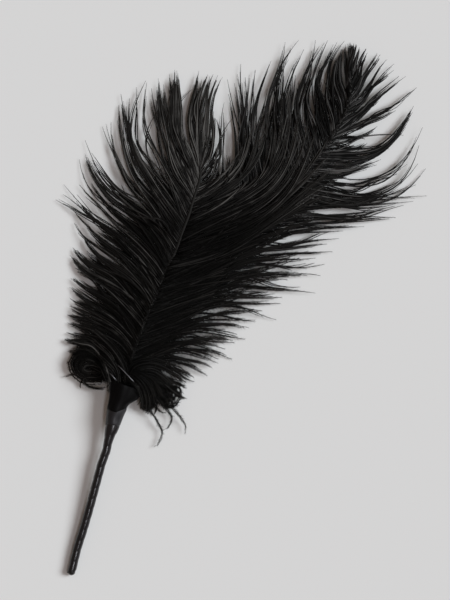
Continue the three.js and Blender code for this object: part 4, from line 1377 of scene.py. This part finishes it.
BINDING = Line([
    (-63.0, -27.2, 6.5),
    (-61.6, -27.2, 10.5),
    (-60.4, -27.9, 13.9),
    (-56.7, -31.6, 14.9),
    (-53.4, -35.2, 14.5),
    (-51.6, -37.2, 11.0),
    (-51.6, -38.4, 6.5),
    (-55.0, -39.6, 3.6),
    (-61.5, -37.0, 3.0),
    (-66.0, -32.5, 5.5),
    (-66.2, -30.8, 9.4),
    (-64.3, -32.0, 12.8),
    (-62.0, -34.6, 12.8),
    (-60.9, -35.9, 10.0),
    (-60.0, -37.0, 7.0),
])
BINDING_RADIUS = 0.27
BINDING_STEPS = 80


def make_binding(material):
    """The fine wire bound round the roots of the barbs."""
    bpy.ops.object.select_all(action="DESELECT")
    wire = poly_curve("binding_wire_turns", BINDING.at(np.linspace(0, 1, BINDING_STEPS)) * MM)
    wire.data.bevel_depth = BINDING_RADIUS * MM
    wire.data.bevel_resolution = 2
    wire.data.use_fill_caps = True
    wire.select_set(True)
    bpy.context.view_layer.objects.active = wire
    bpy.ops.object.convert(target="MESH")
    bpy.ops.object.shade_smooth()
    finish_piece(bpy.context.object, material, ["binding_wire"])


# ---------------------------------------------------------------- vanes and down

VANE_TRIANGLES = 197_000
TUFT_TRIANGLES = 80_000
DOWN_TRIANGLES = 36_000
BASE_Y, TOP_Y = (-35.0, 55.0)  # roots between which the barbules' angle and length change
DOWN_SEED = 60
SAME_EVERYWHERE = (1, 1, 1)  # as pale at each of PALENESS_YS


def make_vane(
    name, node, shaft, locks, material, side, seed, lift, over, filling, reaches, frays, hair_lengths, pales
):
    """One vane, with side as 1 on its shaft's left and -1 on its right.

    lift is how far its barbs arch up, and filling how many fill the gaps between its locks. The pairs are
    given low on the feather and towards its top: over is how far the roots cover the shaft, reaches how
    far the filling barbs reach, frays the barbules' angles in degrees and hair_lengths their lengths.
    pales is how pale the barbs are at each of PALENESS_YS: a painted highlight, stronger or fainter by place.
    """
    lines, widths, paleness = vane_lines(shaft, locks, side, lift, over, filling, reaches, seed)
    root_y = lines[:, 0, 1]
    fray = np.interp(root_y, (BASE_Y, TOP_Y), frays)
    hair_length = np.interp(root_y, (BASE_Y, TOP_Y), hair_lengths)
    barbs = make_barbs(
        name, lines, widths, fray, hair_length, paleness, pales, seed + 20, material, VANE_TRIANGLES
    )
    finish_piece(barbs, None, [node])


def make_down(name, lines, widths, fray, hair_length, pale, seed, material, triangles):
    """A piece of the down at the roots, whose barbules are alike all over."""
    frays = np.full(len(lines), fray)
    hair_lengths = np.full(len(lines), hair_length)
    down = make_barbs(
        name, lines, widths, frays, hair_lengths, pale, SAME_EVERYWHERE, seed, material, triangles
    )
    finish_piece(down, None, ["front_feather"])


# ---------------------------------------------------------------- the pick, put together

set_camera()
set_light()
make_floor(floor_material())

strand_shade = strand_shade_group()
grain = grain_group()

# ridge is a painted highlight along each strand.
front_black_and_highlight = barb_material(
    "dyed_black_front_and_highlight", strand_shade,
    deep=(0.0018, 0.0017, 0.0015), ridge=(0.1, 0.096, 0.091), thin=(0.03, 0.0275, 0.0255),
)
back_black_and_highlight = barb_material(
    "dyed_black_back_and_highlight", strand_shade,
    deep=(0.0018, 0.0017, 0.0016), ridge=(0.105, 0.102, 0.1), thin=(0.03, 0.0282, 0.027),
)
horn = grained_material(
    "dyed_shaft", grain, dark=(0.006, 0.0057, 0.0052), light=(0.016, 0.0152, 0.014),
    rough=(0.6, 0.75), scale=1500, stretch=(1, 0.2, 1), depth=0.02, ior=1.2,
)
tape_wax = grained_material(
    "waxed_tape", grain, dark=(0.0014, 0.0014, 0.0024), light=(0.0045, 0.0044, 0.0066),
    rough=(0.2, 0.3), scale=500, stretch=(0.5, 0.6, 1), depth=0.03, ior=1.62,
)
band_satin = grained_material(
    "band_satin", grain, dark=(0.007, 0.007, 0.009), light=(0.012, 0.0118, 0.015),
    rough=(0.36, 0.48), scale=900, stretch=(1, 0.5, 1), depth=0.06,
)
ribbon_satin = grained_material(
    "ribbon_satin", grain, dark=(0.0016, 0.0016, 0.0018), light=(0.003, 0.0028, 0.003),
    rough=(0.36, 0.5), scale=3000, stretch=(0.3, 1, 1), depth=0.015, ior=1.18,
)
bright_wire = grained_material(
    "bright_wire", grain, dark=(0.1, 0.1, 0.105), light=(0.2, 0.2, 0.21),
    rough=(0.4, 0.55), scale=3000, stretch=(1, 1, 1), depth=0.01, metallic=1.0,
)
drawn_steel = grained_material(
    "drawn_steel", grain, dark=(0.25, 0.25, 0.26), light=(0.35, 0.35, 0.36),
    rough=(0.4, 0.6), scale=2000, stretch=(1, 0.2, 1), depth=0.02, metallic=1.0,
)

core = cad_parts["stem_wire"]
core.data.materials.clear()
core.data.materials.append(drawn_steel)

make_shaft("front_shaft", FRONT_SHAFT, 0.9, 0.75, horn, "front_feather")
make_shaft("back_shaft", BACK_SHAFT, 1.1, 0.2, horn, "back_feather")

# The pales paint the barbs' highlights: faint low on the pick, strong higher up.
make_vane(
    "front_left_barbs", "front_feather", FRONT_SHAFT, FRONT_LEFT, front_black_and_highlight, side=1, seed=20,
    lift=1.2, over=(0.9, 0), filling=260, reaches=(0.78, 0.5),
    frays=(36, 9), hair_lengths=(2.3, 1.4), pales=(0.42, 2.8, 2.8),
)
make_vane(
    "front_right_barbs", "front_feather", FRONT_SHAFT, FRONT_RIGHT, front_black_and_highlight, side=-1, seed=21,
    lift=1.8, over=(0.8, 0), filling=260, reaches=(0.5, 0.5),
    frays=(48, 10), hair_lengths=(2.4, 1.4), pales=(0.12, 3.2, 3.2),
)
make_vane(
    "back_left_barbs", "back_feather", BACK_SHAFT, BACK_LEFT, back_black_and_highlight, side=1, seed=22,
    lift=1.0, over=(1, 1), filling=330, reaches=(0.7, 0.5),
    frays=(36, 10), hair_lengths=(2.3, 1.4), pales=(0.4, 2.6, 0.7),
)
make_vane(
    "back_right_barbs", "back_feather", BACK_SHAFT, BACK_RIGHT, back_black_and_highlight, side=-1, seed=23,
    lift=1.4, over=(1, 1), filling=300, reaches=(0.55, 0.46),
    frays=(48, 12), hair_lengths=(2.4, 1.5), pales=(0.3, 2.2, 1.0),
)

down_rng = np.random.default_rng(DOWN_SEED)
tufts = np.concatenate([tuft_lines(tuft, down_rng) for tuft in BASE_TUFTS])
tuft_widths = np.concatenate([np.full(count, thickness) for count, _, _, thickness, _, _ in BASE_TUFTS])
tuft_pales = np.concatenate([np.full(count, pale) for count, _, _, _, pale, _ in BASE_TUFTS])
make_down(
    "base_tufts", tufts, tuft_widths, fray=36.0, hair_length=1.8, pale=tuft_pales,
    seed=DOWN_SEED + 1, material=front_black_and_highlight, triangles=TUFT_TRIANGLES,
)
curls = np.concatenate([down_lines(patch, down_rng) for patch in DOWN_PATCHES])
make_down(
    "base_down", curls, 0.6, fray=28.0, hair_length=1.1, pale=0.3,
    seed=DOWN_SEED + 2, material=front_black_and_highlight, triangles=DOWN_TRIANGLES,
)

stem_line = stem_guide()
make_tape(stem_line, tape_wax)
make_band(stem_line, band_satin)
make_collar(stem_line, ribbon_satin)
bpy.data.objects.remove(stem_line)
make_binding(bright_wire)
